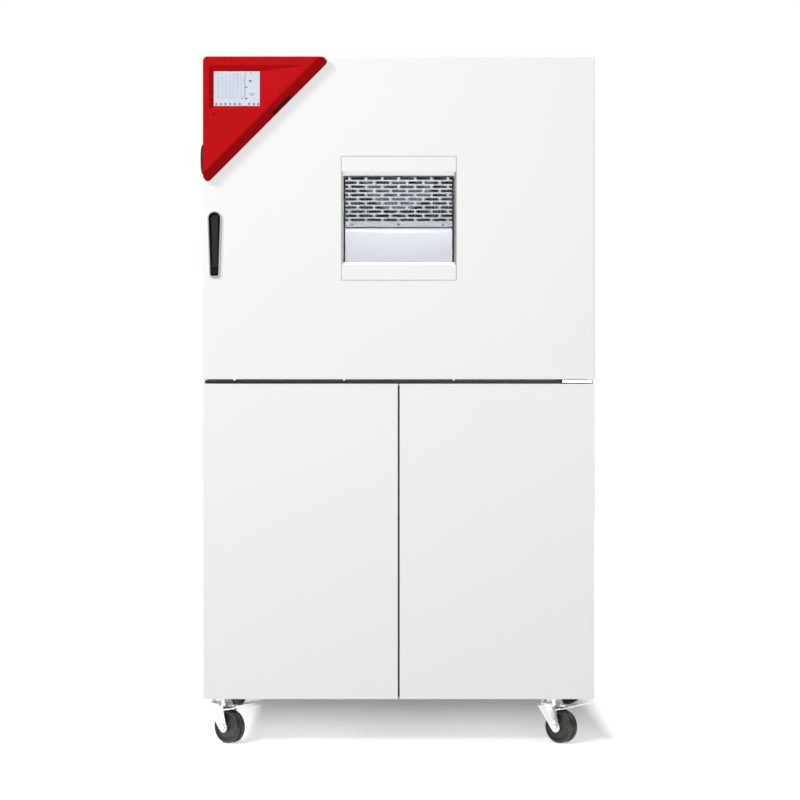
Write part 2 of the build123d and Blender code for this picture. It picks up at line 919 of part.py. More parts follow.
def window_mask():
    """The white frame behind the pane that hides the edges of the tunnel."""
    y = (pane_back, pane_back + sheet)
    band = window_height / 2 - window_sight_height / 2
    return upright_ring(window_x, y, window_span_z, tunnel_wall, band)


def window_tunnel():
    """The frame that lines the window through the foam."""
    y = (pane_back + sheet, y_door_back - liner_sheet)
    z = (sight_z[0], sight_z[1])
    return upright_ring(window_x, y, z, tunnel_wall, tunnel_wall)


def inner_panes():
    """The inner panes of the window, each held by the spacers."""
    panes = []
    for y in pane_places():
        x = (sight_x[0], sight_x[1])
        z = (sight_z[0] + tunnel_wall, sight_z[1] - tunnel_wall)
        panes.append(block(x, (y, y + pane_thickness), z))
    return group(*panes)


def pane_places():
    """The front faces of the inner panes."""
    depth = y_door_back - liner_sheet - pane_back - sheet
    pitch = depth / pane_count
    return [pane_back + sheet + pitch * (index + 1) - pane_thickness for index in range(pane_count)]


def window_spacers():
    """The dark spacers that hold the inner panes apart."""
    spacers = []
    start = pane_back + sheet
    z = (sight_z[0] + tunnel_wall, sight_z[1] - tunnel_wall)
    for y in pane_places():
        spacers.append(upright_ring(sight_x, (start, y), z, tunnel_wall, tunnel_wall))
        start = y + pane_thickness
    return group(*spacers)


def inner_window_frame():
    """The steel frame on the inside that clamps the last pane."""
    outer = inner_frame_margin
    x = (window_x[0] - outer, window_x[1] + outer)
    z = (sight_z[0] - outer, sight_z[1] + outer)
    y = (y_door_back, y_door_back + sheet)
    return upright_ring(x, y, z, outer + 2 * tunnel_wall, outer + 2 * tunnel_wall)


def door_seal():
    """The rubber seal round the mouth of the chamber."""
    reach_x = chamber_width / 2 + seal_opening_margin + seal_width
    reach_z = chamber_height / 2 + seal_opening_margin + seal_width
    middle = chamber_floor + chamber_height / 2
    z = (middle - reach_z, middle + reach_z)
    seal = upright_ring((-reach_x, reach_x), (y_door_back, y_collar - fit), z, seal_width, seal_width)
    outer_corners = seal.edges().filter_by(Axis.Y).group_by(SortBy.DISTANCE)[-1]
    return fillet(outer_corners, seal_width)


def door_bushes():
    """The two bushes that turn on the hinge pins."""
    bushes = []
    bore = hinge_pin_radius + running_fit
    for span in bush_places():
        bush = rod_z(x_pin, y_pin, span, bore + hinge_bush_wall) - rod_z(x_pin, y_pin, span, bore)
        bushes.append(bush)
    return group(*bushes)


def hinge_arms():
    """The fixed arms with pins that carry the door and the two service doors."""
    arms = []
    x, y, _ = arm_spans()
    low_pin = (low_arm_z[0], z_door + hinge_bush_length - hinge_arm_gap)
    top_pin = (notch_z - hinge_bush_length + hinge_arm_gap, top_arm_z[1])
    for arm_z, pin_z in ((low_arm_z, low_pin), (top_arm_z, top_pin)):
        arms.append(block(x, y, arm_z) + rod_z(x_pin, y_pin, pin_z, hinge_pin_radius))
    pin_y = y_front + leaf_thickness / 2
    reach = notch_height + leaf_block - hinge_arm_gap
    for side in (-1, 1):
        pin_x = side * (x_side - leaf_pin_from_side)
        x = sorted((pin_x + side * leaf_arm_margin, pin_x - side * leaf_arm_reach))
        for low, grow in ((z_leaf, 1), (z_leaf_top, -1)):
            start = low + grow * hinge_arm_gap
            arm_z = sorted((start, start + grow * hinge_arm_thickness))
            pin_z = sorted((start, low + grow * reach))
            arm = block(x, (pin_y - leaf_arm_margin, y_body), arm_z)
            arms.append(arm + rod_z(pin_x, pin_y, pin_z, leaf_pin_radius))
    return group(*arms)


def release_pin_hole(y_end):
    """The bore behind the handle for the release pin."""
    y = (y_front + handle_depth - overcut, y_end)
    return rod_y(handle_x, y, pin_hole_z, release_radius + fit)


def handle_bezel():
    """The light rim round the handle."""
    rim = standing(y_front - handle_rim, handle_outline(0), handle_rim)
    inner = handle_outline(handle_rim)
    return rim - standing(y_front - handle_rim - overcut, inner, handle_rim + 2 * overcut)


def handle_pocket():
    """The dark moulded pocket behind the rim, with the pin of the lever across it."""
    cup = standing(y_front, handle_outline(handle_rim), handle_depth)
    hollow = handle_outline(handle_rim + handle_wall)
    cup -= standing(y_front - overcut, hollow, handle_depth + overcut - handle_floor)
    z = handle_bottom + handle_length - lever_pivot_drop
    reach = handle_top_radius - handle_rim - handle_wall / 2
    cup += rod_x((handle_x - reach, handle_x + reach), y_front + lever_pivot_depth, z, lever_pin_radius)
    y = (y_front + handle_depth - 2 * handle_floor, y_front + handle_depth + overcut)
    return cup - rod_y(handle_x, y, pin_hole_z, release_radius + fit)


def door_lever():
    """The pull lever inside the pocket, with a finger lip at its lower end."""
    z_high = handle_bottom + handle_length - lever_top_gap
    z_low = handle_bottom + lever_foot_gap
    x = (handle_x - lever_half_width, handle_x + lever_half_width)
    y0 = y_front + lever_pivot_depth - lever_thickness / 2
    lever = block(x, (y0, y0 + lever_thickness), (z_low, z_high))
    lever += block(x, (y0 - lever_lip, y0 + lever_thickness), (z_low, z_low + lever_lip_height))
    z = handle_bottom + handle_length - lever_pivot_drop
    bore_x = (x[0] - overcut, x[1] + overcut)
    return lever - rod_x(bore_x, y_front + lever_pivot_depth, z, lever_pin_radius + running_fit)


def release_pin():
    """The pin that the lever drives to push the door off its catch."""
    y = (y_front + handle_depth - release_gap, y_door_back)
    return rod_y(handle_x, y, pin_hole_z, release_radius)


def catch_tongue():
    """The tongue on the back of the door that snaps between the rollers."""
    z = (catch_z - catch_height / 4, catch_z + catch_height / 4)
    x = (handle_x - tongue_thickness / 2, handle_x + tongue_thickness / 2)
    tongue = block(x, (y_door_back, y_door_back + tongue_reach), z)
    foot_x = (x[0] - tongue_foot, x[1] + tongue_foot)
    return tongue + block(foot_x, (y_door_back, y_door_back + sheet), z)


def roller_catch():
    """The cup in the body with two rollers beside the tongue."""
    x = (handle_x - catch_width / 2, handle_x + catch_width / 2)
    z = (catch_z - catch_height / 2, catch_z + catch_height / 2)
    cup = pan(x, (y_collar, y_collar + catch_depth), z, sheet, "-y")
    for side in (-1, 1):
        reach = tongue_thickness / 2 + fit + roller_radius
        cup += rod_z(handle_x + side * reach, y_collar + roller_radius, z, roller_radius)
    return cup


# Controller on the door


def flank_plane(offset):
    """The sloping plane of the housing's long side, moved inwards by an offset."""
    out = Vector(math.sin(slant), 0, -math.cos(slant))
    front_edge = Vector(tip_right[0], y_front, tip_right[1]) - out * offset
    lean = Vector(0, -controller_flank, 0) + out * controller_rise
    along = Vector(-math.cos(slant), 0, -math.sin(slant))
    normal = (out * controller_rise + Vector(0, -controller_flank, 0)).normalized()
    return Plane(origin=front_edge, x_dir=along, z_dir=normal)


def controller_housing():
    """The triangular housing with a sloping flank and a pocket round the screen."""
    triangle = Polygon((corner_x, z_top), tip_low, tip_right, align=None)
    triangle = fillet(triangle.vertices(), controller_tip_radius)
    body = standing(y_rise, triangle, controller_rise)
    body = split(body, bisect_by=flank_plane(0), keep=Keep.BOTTOM)
    body -= pocket()
    along = math.hypot(controller_width, controller_height) * flank_slot_place
    across = math.hypot(controller_flank, controller_rise) / 2
    slot = Pos(along, across, 0) * Box(flank_slot_length, flank_slot_width, pocket_depth)
    return body - flank_plane(0).location * slot


def pocket():
    """The five-sided recess with sloping walls in the front of the housing."""
    left = corner_x + pocket_margin
    top = z_top - pocket_top_margin
    low = top - pocket_height
    rise = controller_height / controller_width
    inner = (controller_flank + pocket_flank_margin) / math.cos(slant)
    right_top = tip_right[0] - (pocket_top_margin + inner) / rise
    right_low = right_top - pocket_height / rise
    outline = Polygon((left, top), (left, low), (right_low, low), (right_top, top), align=None)
    plane = Plane(origin=(0, y_rise, 0), x_dir=(1, 0, 0), z_dir=(0, -1, 0))
    return extrude(plane * outline, amount=-pocket_depth, taper=pocket_taper)


def screen_place():
    """The middle of the screen as (x, z)."""
    x = corner_x + pocket_margin + screen_inset + screen_width / 2
    z = z_top - pocket_top_margin - screen_inset - screen_height / 2
    return x, z


def display():
    """The touch screen on the floor of the pocket."""
    x, z = screen_place()
    span_x = (x - screen_width / 2, x + screen_width / 2)
    span_z = (z - screen_height / 2, z + screen_height / 2)
    y = y_rise + pocket_depth
    return block(span_x, (y - screen_thickness, y), span_z)


# Service doors
def service_leaf(side):
    """A hollow folded service door with two pivot blocks and notches for the fixed arms."""
    x = sorted((side * leaf_seam / 2, side * x_side))
    y = (y_front, y_leaf_back)
    leaf = pan(x, y, (z_leaf, z_leaf_top), sheet, "+y")
    pin_x = side * (x_side - leaf_pin_from_side)
    pin_y = y_front + leaf_thickness / 2
    cut_x = sorted((side * (x_side + overcut), side * (x_side - leaf_notch_width)))
    block_x = sorted((side * (x_side - sheet), side * (x_side - sheet - 2 * leaf_pin_from_side)))
    for low, grow in ((z_leaf, 1), (z_leaf_top, -1)):
        cut_z = sorted((low - grow, low + grow * notch_height))
        leaf -= block(cut_x, (y_front + sheet, y_leaf_back + overcut), cut_z)
        block_z = sorted((low + grow * notch_height, low + grow * (notch_height + leaf_block)))
        leaf += block(block_x, (y_front + sheet, y_leaf_back), block_z)
        leaf -= rod_z(pin_x, pin_y, block_z, leaf_pin_radius + running_fit)
    return leaf


def leaf_magnets():
    """Two magnetic catches beside the seam, on the centre post."""
    magnets = []
    middle = (z_leaf + z_leaf_top) / 2
    z = (middle - magnet_height / 2, middle + magnet_height / 2)
    for side in (-1, 1):
        x = sorted((side * magnet_from_seam, side * (magnet_from_seam + magnet_width)))
        magnets.append(block(x, (y_leaf_back + fit, y_body + sheet), z))
    return group(*magnets)


def centre_post():
    """The folded post behind the seam of the service doors."""
    y = (y_body + sheet, y_body + sheet + flange)
    return pan((-centre_post_half, centre_post_half), y, (z_floor, z_deck - sheet), sheet, "+y")


# Castors
def castor_place(name):
    """The pivot of a castor and its turn as one location."""
    x, y = castor_places()[list(castor_from_side).index(name)]
    return Pos(x, y, 0) * Rot(0, 0, castor_turns[name])


def castor_plates():
    """The four screwed-on top plates, each with its kingpin."""
    plates = []
    reach = castor_plate_width / 2
    z = (castor_height - castor_plate_thickness, castor_height)
    for x, y in castor_places():
        span_x = (max(x - reach, -x_side + fit), min(x + reach, x_side - fit))
        plate = block(span_x, (y - reach, y + reach), z)
        plates.append(plate + rod_z(x, y, (fork_top - kingpin_tail, z[0]), kingpin_radius))
    return group(*plates)


def castor_fork(name):
    """The swivel head, the two legs of the fork and the axle bolt with its nuts."""
    head_top = castor_height - castor_plate_thickness - head_gap
    head_mid = fork_top + head_step_height
    fork = rod_z(0, 0, (fork_top, head_mid), castor_head_radius)
    fork += rod_z(0, 0, (head_mid, head_top), castor_head_step)
    inner = wheel_width / 2 + fork_gap
    outer = inner + fork_thickness
    crown_x = (-castor_head_radius, castor_head_radius)
    fork += block(crown_x, (-outer, outer), (fork_top - fork_thickness, fork_top))
    for side in (-1, 1):
        y = sorted((side * inner, side * outer))
        leg = Polygon(
            (-castor_head_radius, fork_top),
            (wheel_trail - axle_boss, wheel_radius - axle_radius),
            (wheel_trail + axle_boss, wheel_radius - axle_radius),
            (castor_head_radius, fork_top),
            align=None,
        )
        fork += standing(y[0], leg, fork_thickness)
        nut_y = min(side * outer, side * (outer + axle_nut_depth))
        nut = Pos(wheel_trail, wheel_radius) * RegularPolygon(axle_nut, 6)
        fork += rod_y(wheel_trail, y, wheel_radius, axle_boss) + standing(nut_y, nut, axle_nut_depth)
    fork += rod_y(wheel_trail, (-outer, outer), wheel_radius, axle_radius)
    bore_z = (fork_top - fork_thickness - overcut, head_top + overcut)
    return castor_place(name) * (fork - rod_z(0, 0, bore_z, kingpin_radius + running_fit))


def castor_wheel(name):
    """A wheel with a hub boss and two treads beside a groove."""
    half = wheel_width / 2
    boss = half + fork_gap - fit
    core = wheel_radius - tread_groove
    wheel = Cylinder(core, wheel_width) + Cylinder(hub_boss_radius, 2 * boss)
    for side in (-1, 1):
        tread_z = side * (groove_half + tread_half) / 2
        wheel += Pos(0, 0, tread_z) * Cylinder(wheel_radius, tread_half - groove_half)
    wheel -= Cylinder(axle_radius + running_fit, 2 * boss + overcut)
    return castor_place(name) * Pos(wheel_trail, 0, wheel_radius) * Rot(90, 0, 0) * wheel


def brake_pedal(name):
    """The bent foot lever of the brake, on a pin across the fork."""
    u, z = pedal_pivot
    low = z - pedal_thickness / 2
    high = z + pedal_thickness / 2
    profile = Polygon(
        (u, low),
        (pedal_bend, low),
        pedal_tip,
        (pedal_tip[0], pedal_tip[1] + pedal_thickness),
        (pedal_bend - pedal_thickness / 2, high),
        (u, high),
        align=None,
    )
    pedal = standing(-pedal_width / 2, profile, pedal_width)
    reach = wheel_width / 2 + fork_gap - fit
    pedal += rod_y(u, (-reach, reach), z, pedal_pin_radius)
    return castor_place(name) * pedal


# Cooling plant


def compressor(name):
    """A capped steel can on a foot plate with four rubber mounts."""
    x, y = compressor_places[name]
    start = mount_height + sheet
    shoulder = compressor_height - compressor_cap_height
    can = rod_z(0, 0, (start, shoulder), compressor_radius)
    can += rod_z(0, 0, (shoulder, compressor_height), compressor_cap_radius)
    foot_x = (-foot_half_length, foot_half_length)
    can += block(foot_x, (-foot_half_width, foot_half_width), (mount_height, mount_height + foot_sheet))
    for u in (-mount_reach[0], mount_reach[0]):
        for v in (-mount_reach[1], mount_reach[1]):
            can += rod_z(u, v, (0, mount_height), mount_radius)
    return Pos(x, y, z_floor) * can


def condenser():
    """The finned condenser in front of the rear louvres."""
    span_x = (-condenser_half, condenser_half)
    span_y = (condenser_back - condenser_depth, condenser_back)
    core = finned_block(span_x, span_y, condenser_z, condenser_groove_count, condenser_groove)
    for side in (-1, 1):
        x = sorted((side * condenser_half, side * (condenser_half + sheet)))
        core += block(x, (span_y[0], y_rear - sheet), (z_floor, condenser_z[1]))
    return core


def condenser_shroud():
    """The sheet hood that guides the air to the condenser fan, with the motor's bracket."""
    y = (shroud_front, shroud_front + shroud_depth)
    middle = sum(condenser_z) / 2
    hood = pan((-condenser_half, condenser_half), y, condenser_z, sheet, "+y")
    hood -= rod_y(0, (y[0] - overcut, y[0] + sheet + overcut), middle, fan_opening)
    arm_y = (arm_front - bracket_sheet, arm_front)
    arm_z = (middle - bracket_height / 2, middle + bracket_height / 2)
    near = fan_opening + bracket_from_opening
    far = near + bracket_width
    for side in (-1, 1):
        hood += block(sorted((side * near, side * far)), (arm_y[0], y[0]), arm_z)
    hood += block((-far, far), arm_y, arm_z)
    motor_y = (arm_y[0] - cooling_motor_back, arm_y[1] + cooling_motor_front)
    hood += rod_y(0, motor_y, middle, cooling_motor_radius)
    bore = (motor_y[1] - cooling_bore_depth, motor_y[1] + overcut)
    return hood - rod_y(0, bore, middle, shaft_radius + running_fit)


def condenser_fan():
    """The axial fan with pitched blades that turns in front of the hood."""
    middle = sum(condenser_z) / 2
    y = (arm_front + cooling_hub_gap, arm_front + cooling_hub_gap + cooling_hub_depth)
    fan = rod_y(0, y, middle, cooling_hub)
    fan += rod_y(0, (arm_front - cooling_shaft_depth, y[0]), middle, shaft_radius)
    root = cooling_hub - cooling_hub_depth / 2
    length = fan_opening - fan_clearance - root
    for index in range(cooling_blade_count):
        blade = Rot(cooling_blade_pitch, 0, 0) * Box(length, sheet, cooling_hub)
        turn = Pos(0, sum(y) / 2, middle) * Rot(0, 360 / cooling_blade_count * index, 0)
        fan += turn * Pos(root + length / 2, 0, 0) * blade
    return fan


def liquid_receiver():
    """The upright liquid tank with a capped top on a narrower foot."""
    x, y = receiver_place
    shoulder = receiver_height - receiver_cap_height
    tank = rod_z(0, 0, (receiver_foot, shoulder), receiver_radius)
    tank += rod_z(0, 0, (shoulder, receiver_height), receiver_cap_radius)
    tank += rod_z(0, 0, (0, receiver_foot), receiver_cap_radius)
    return Pos(x, y, z_floor) * tank


def refrigerant_pipes():
    """The copper pipes between compressors, receiver and condenser, with the filter drier."""
    high = compressor_places["compressor_high_stage"]
    low = compressor_places["compressor_low_stage"]
    y_cond = condenser_back - condenser_depth / 2
    z_top_run = z_floor + compressor_height + pipe_top_run
    z_can = z_floor + pipe_can_rise
    x_run = high[0] - compressor_radius - pipe_side_run
    x_tank, y_tank = receiver_place
    side_run = [
        (high[0] - compressor_radius, high[1], z_can),
        (x_run, high[1], z_can),
        (x_run, y_cond, z_can),
        (-condenser_half - sheet, y_cond, z_can),
    ]
    top_run = [
        (x_tank, y_tank, z_floor + receiver_height),
        (x_tank, y_tank, z_top_run),
        (low[0], y_tank, z_top_run),
        (low[0], low[1], z_top_run),
        (low[0], low[1], z_floor + compressor_height),
    ]
    drier_x = (x_tank + low[0]) / 2
    span = (drier_x - drier_length / 2, drier_x + drier_length / 2)
    drier = rod_x(span, y_tank, z_top_run, drier_radius)
    return group(pipe(side_run, pipe_bend, pipe_radius), pipe(top_run, pipe_bend, pipe_radius) + drier)


def condensate_tray():
    """The open tray on the machine floor that catches the condensate."""
    x = (tray_place[0], tray_place[0] + tray_size[0])
    y = (tray_place[1], tray_place[1] + tray_size[1])
    return pan(x, y, (z_floor, z_floor + tray_size[2]), sheet, "+z")


def electrical_box():
    """The electrical box on the left side panel, with its lid and cable glands."""
    x = (-x_in, -x_in + box_width)
    y0 = post_front + post + box_gap
    y = (y0, y0 + box_depth)
    body = pan(x, y, box_z, sheet, "-y")
    lid_x = (x[0] + box_lid_margin, x[1] - box_lid_margin)
    lid_z = (box_z[0] + box_lid_margin, box_z[1] - box_lid_margin)
    lid = block(x, (y[0] - sheet, y[0]), box_z) + block(lid_x, (y[0] - box_lid_depth, y[0]), lid_z)
    for index in range(box_gland_count):
        gland_x = x[0] + box_width * (index + 1) / (box_gland_count + 1)
        gland_z = (box_z[0] - box_gland_length, box_z[0])
        body += rod_z(gland_x, y0 + box_depth / 2, gland_z, box_gland_radius)
    return group(body, lid)


# Service connections


def service_plate_y():
    """The span of the service plate along the right side, behind the insulation."""
    low = y_foam_back + service_gap + service_margin
    return (low, low + service_width)


def service_plate_z():
    """The span of the service plate in height."""
    return (service_bottom, service_bottom + service_height)


def service_places():
    """The middles of the switch and the two sockets as (y, z)."""
    y = sum(service_plate_y()) / 2
    step = service_height / 3
    return [(y, service_bottom + step * (index + 1 / 2)) for index in (2, 0, 1)]


def service_plate():
    """The dark plate in the right side panel with holes for the sockets."""
    y = service_plate_y()
    z = service_plate_z()
    back_y = (y[0] - service_margin, y[1] + service_margin)
    plate = block((x_in - sheet, x_in), back_y, (z[0] - service_margin, z[1] + service_margin))
    plate += block((x_in - sheet, x_side - fit), (y[0] + fit, y[1] - fit), (z[0] + fit, z[1] - fit))
    for place_y, place_z in service_places()[1:]:
        hole_x = (x_in - sheet - overcut, x_side + overcut)
        plate -= rod_x(hole_x, place_y, place_z, socket_radius)
    return plate


def service_sockets():
    """Two round sockets with spring lids in the service plate."""
    sockets = []
    for place_y, place_z in service_places()[1:]:
        body = rod_x((x_in - socket_depth, x_side - fit), place_y, place_z, socket_radius)
        rim_x = (x_side - fit, x_side + socket_rim_depth)
        sockets.append(body + rod_x(rim_x, place_y, place_z, socket_radius + socket_rim))
    return group(*sockets)


def main_switch_base():
    """The fixed ring of the main switch."""
    y, z = service_places()[0]
    return rod_x((x_side - fit, x_side + switch_base_depth), y, z, switch_base_radius)


def main_switch_knob():
    """The turning knob of the main switch with its grip bar."""
    y, z = service_places()[0]
    disc_x = x_side + switch_base_depth + switch_disc_depth
    knob = rod_x((x_side + switch_base_depth + fit, disc_x), y, z, switch_radius)
    bar_y = (y - switch_bar_half, y + switch_bar_half)
    bar_z = (z - switch_radius, z + switch_radius)
    bar = block((disc_x, x_side + switch_reach), bar_y, bar_z)
    return knob + (bar & rod_x((x_side, x_side + switch_reach), y, z, switch_radius))


def inlet_gland():
    """The nut and collar of the mains inlet, low in the rear cover."""
    x = x_in - gland_from_side
    z = castor_height + gland_rise
    gland = standing(y_rear, Pos(x, z) * RegularPolygon(gland_radius, 6), gland_nut_depth)
    gland += rod_y(x, (y_rear, y_rear + gland_reach), z, gland_collar)
    return gland - rod_y(x, (y_rear + gland_bore_start, y_rear + gland_reach + overcut), z, gland_bore)


def rear_spacers():
    """Four stand-offs that keep the back away from the wall."""
    spacers = []
    for x in (spacer_from_side - x_in, x_in - spacer_from_side):
        for z in (castor_height + spacer_low_rise, z_top - spacer_top_drop):
            spacers.append(rod_y(x, (y_rear, y_rear + spacer_reach), z, spacer_radius))
    return group(*spacers)


# The whole chamber
def all_nodes():
    """Every node by name."""
    nodes = {
        "base_frame": base_frame(),
        "upright_posts": group(corner_posts(), centre_post(), leaf_magnets()),
        "machine_decks": group(machine_floor(), deck()),
        "cabinet_panels": group(side_panel(-1), side_panel(1), top_cover()),
        "rear_cover": rear_cover(),
        "front_divider": front_divider(),
        "front_collar": front_collar(),
        "chamber_liner": group(chamber_liner(), port_tube()),
        "chamber_foam": chamber_foam(),
        "air_baffle": air_baffle(),
        "temperature_probe": temperature_probe(),
        "lower_air_panel": lower_air_panel(),
        "circulation_fan": circulation_fan(),
        "fan_motor": fan_motor(),
        "heater": heater(),
        "evaporator": evaporator(),
        "shelf_mounts": group(shelf_strips(), shelf_brackets()),
        "wire_shelf": wire_shelf(),
        "chamber_lamp": chamber_lamp(),
        "port_plug": port_plug(),
        "door_skin": door_skin(),
        "door_foam": door_foam(),
        "door_liner": group(door_liner(), inner_window_frame()),
        "window_panes": group(outer_pane(), inner_panes()),
        "window_lining": group(window_mask(), window_tunnel()),
        "window_spacers": window_spacers(),
        "door_seal": door_seal(),
        "door_hardware": group(door_bushes(), catch_tongue()),
        "hinge_arms": hinge_arms(),
        "handle_bezel": handle_bezel(),
        "handle_pocket": handle_pocket(),
        "door_lever": door_lever(),
        "release_pin": release_pin(),
        "roller_catch": roller_catch(),
        "controller_housing": controller_housing(),
        "display": display(),
        "left_service_door": service_leaf(-1),
        "right_service_door": service_leaf(1),
        "castor_plates": castor_plates(),
        "condenser": condenser(),
        "condenser_shroud": condenser_shroud(),
        "condenser_fan": condenser_fan(),
        "pressure_vessels": group(*[compressor(name) for name in compressor_places], liquid_receiver()),
        "refrigerant_pipes": refrigerant_pipes(),
        "condensate_tray": condensate_tray(),
        "electrical_box": electrical_box(),
        "service_panel": group(service_plate(), service_sockets(), main_switch_base()),
        "main_switch_knob": main_switch_knob(),
        "rear_fittings": group(inlet_gland(), rear_spacers()),
    }
    for name in castor_turns:
        nodes[f"castor_fork_{name}"] = castor_fork(name)
        nodes[f"castor_wheel_{name}"] = castor_wheel(name)
    for name in ("fl", "fr"):
        nodes[f"brake_pedal_{name}"] = brake_pedal(name)
    return nodes


def main():
    """Write one STEP file per node."""
    os.makedirs("parts", exist_ok=True)
    for name, shape in all_nodes().items():
        export_step(shape, f"parts/{name}.step")


main()
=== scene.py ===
import json
import math

import bmesh
import bpy
from mathutils import Matrix, Vector


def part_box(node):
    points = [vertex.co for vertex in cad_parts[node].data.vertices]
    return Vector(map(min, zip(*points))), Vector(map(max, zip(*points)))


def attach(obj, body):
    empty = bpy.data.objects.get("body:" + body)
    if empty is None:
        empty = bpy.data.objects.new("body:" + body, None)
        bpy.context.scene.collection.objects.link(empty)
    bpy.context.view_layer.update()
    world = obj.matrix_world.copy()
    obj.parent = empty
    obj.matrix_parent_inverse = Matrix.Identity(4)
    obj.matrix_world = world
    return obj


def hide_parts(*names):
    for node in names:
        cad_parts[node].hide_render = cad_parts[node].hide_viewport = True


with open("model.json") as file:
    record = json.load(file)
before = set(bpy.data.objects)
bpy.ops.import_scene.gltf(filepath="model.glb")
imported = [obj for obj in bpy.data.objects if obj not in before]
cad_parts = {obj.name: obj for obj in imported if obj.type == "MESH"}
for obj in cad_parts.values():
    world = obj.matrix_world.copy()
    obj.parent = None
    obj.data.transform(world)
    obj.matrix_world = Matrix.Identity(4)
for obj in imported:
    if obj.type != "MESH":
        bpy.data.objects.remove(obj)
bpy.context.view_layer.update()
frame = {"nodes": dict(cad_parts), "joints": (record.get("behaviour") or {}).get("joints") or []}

bl_info = {
    "name": "Environmental Test Chamber",
    "version": (1, 0, 0),
    "blender": (4, 5, 0),
    "location": "3D View > Sidebar > Test Chamber",
    "description": "Dresses the frame of a test chamber with finishes and fine pieces",
    "category": "Object",
}

MM = 0.001
NODES = frame["nodes"]
CASTORS = ("fl", "fr", "rl", "rr")


# Boxes of the frame
def span(node, axis):
    """The lowest and highest value of a node along x, y or z."""
    low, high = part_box(node)
    index = "xyz".index(axis)
    return low[index], high[index]


def middle(node):
    """The centre of a node's box."""
    low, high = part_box(node)
    return (Vector(low) + Vector(high)) / 2


def joint(name):
    """A joint of the record by its name."""
    return next(entry for entry in frame["joints"] if entry["name"] == name)


# Meshes
def mesh_object(name, bm, finish, body, smooth=None):
    """Turn a bmesh into a piece that rides on a body."""
    bmesh.ops.recalc_face_normals(bm, faces=bm.faces)
    mesh = bpy.data.meshes.new(name)
    bm.to_mesh(mesh)
    bm.free()
    return add_piece(name, mesh, finish, body, smooth)


def add_piece(name, mesh, finish, body, smooth=None):
    """Link a mesh as a piece with its finish and body."""
    piece = bpy.data.objects.new(name, mesh)
    bpy.context.scene.collection.objects.link(piece)
    if finish is not None:
        mesh.materials.clear()
        mesh.materials.append(finish)
    if smooth is not None:
        mesh.shade_smooth()
        mesh.set_sharp_from_angle(angle=math.radians(smooth))
    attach(piece, body)
    return piece


def cuboid(bm, x, y, z):
    """Add a box between (low, high) pairs to a bmesh and return its vertices."""
    size = Vector((x[1] - x[0], y[1] - y[0], z[1] - z[0]))
    place = Matrix.Translation(((x[0] + x[1]) / 2, (y[0] + y[1]) / 2, (z[0] + z[1]) / 2))
    made = bmesh.ops.create_cube(bm, size=1.0, matrix=place @ Matrix.Diagonal((*size, 1.0)))
    return made["verts"]


def lathe(bm, profile, place, steps=48):
    """Turn (radius, height) points round the local Z axis and put the result at a place."""
    rings = []
    for radius, height in profile:
        if radius < 1e-7:
            rings.append([bm.verts.new(place @ Vector((0, 0, height)))])
            continue
        ring = []
        for index in range(steps):
            angle = 2 * math.pi * index / steps
            point = Vector((radius * math.cos(angle), radius * math.sin(angle), height))
            ring.append(bm.verts.new(place @ point))
        rings.append(ring)
    for low, high in zip(rings, rings[1:]):
        for index in range(steps):
            after = (index + 1) % steps
            lower = [low[index % len(low)], low[after % len(low)]]
            upper = [high[after % len(high)], high[index % len(high)]]
            unique = list(dict.fromkeys(lower + upper))
            if len(unique) > 2:
                bm.faces.new(unique)


def prism(bm, outline, frame_matrix, depth):
    """Add a flat plate: outline points in X and Y of a frame, thickness along its Z."""
    lower = [bm.verts.new(frame_matrix @ Vector((x, y, 0.0))) for x, y in outline]
    upper = [bm.verts.new(frame_matrix @ Vector((x, y, depth))) for x, y in outline]
    bm.faces.new(lower)
    bm.faces.new(upper)
    for index in range(len(outline)):
        after = (index + 1) % len(outline)
        bm.faces.new([lower[index], lower[after], upper[after], upper[index]])


def stadium(length, width, steps=8):
    """Outline points of a bar with half-round ends."""
    radius = width / 2
    points = []
    for side in (1, -1):
        for index in range(steps + 1):
            angle = math.pi * (index / steps - 0.5)
            x = side * (length / 2 - radius + radius * math.cos(angle))
            points.append((x, side * radius * math.sin(angle)))
    return points


def disc(radius, steps=16):
    """Outline points of a circle."""
    angles = [2 * math.pi * n / steps for n in range(steps)]
    return [(radius * math.cos(angle), radius * math.sin(angle)) for angle in angles]


def bar(width, height):
    """Outline points of a rectangle."""
    x, y = width / 2, height / 2
    return [(-x, -y), (x, -y), (x, y), (-x, y)]


def facing_front(x, y, z):
    """A frame whose Z axis points to the front, with its origin at a point in millimetres."""
    turn = Matrix(((1, 0, 0, 0), (0, 0, -1, 0), (0, 1, 0, 0), (0, 0, 0, 1)))
    return Matrix.Translation((x * MM, y * MM, z * MM)) @ turn @ Matrix.Scale(MM, 4)


def ring(bm, x, y, z, side, band):
    """Add an upright frame with an open middle: side walls and bands of the given widths."""
    corners = []
    for left, right, low, high in ((*x, *z), (x[0] + side, x[1] - side, z[0] + band, z[1] - band)):
        for depth in y:
            flat = ((left, low), (right, low), (right, high), (left, high))
            corners.append([bm.verts.new((u, depth, v)) for u, v in flat])
    outer_front, outer_back, inner_front, inner_back = corners
    for index in range(4):
        after = (index + 1) % 4
        bm.faces.new([outer_front[index], outer_front[after], inner_front[after], inner_front[index]])
        bm.faces.new([outer_back[index], inner_back[index], inner_back[after], outer_back[after]])
        bm.faces.new([outer_front[index], outer_back[index], outer_back[after], outer_front[after]])
        bm.faces.new([inner_front[index], inner_front[after], inner_back[after], inner_back[index]])


def in_mm(*values):
    """Lengths in millimetres as a tuple of metres."""
    return tuple(value * MM for value in values)


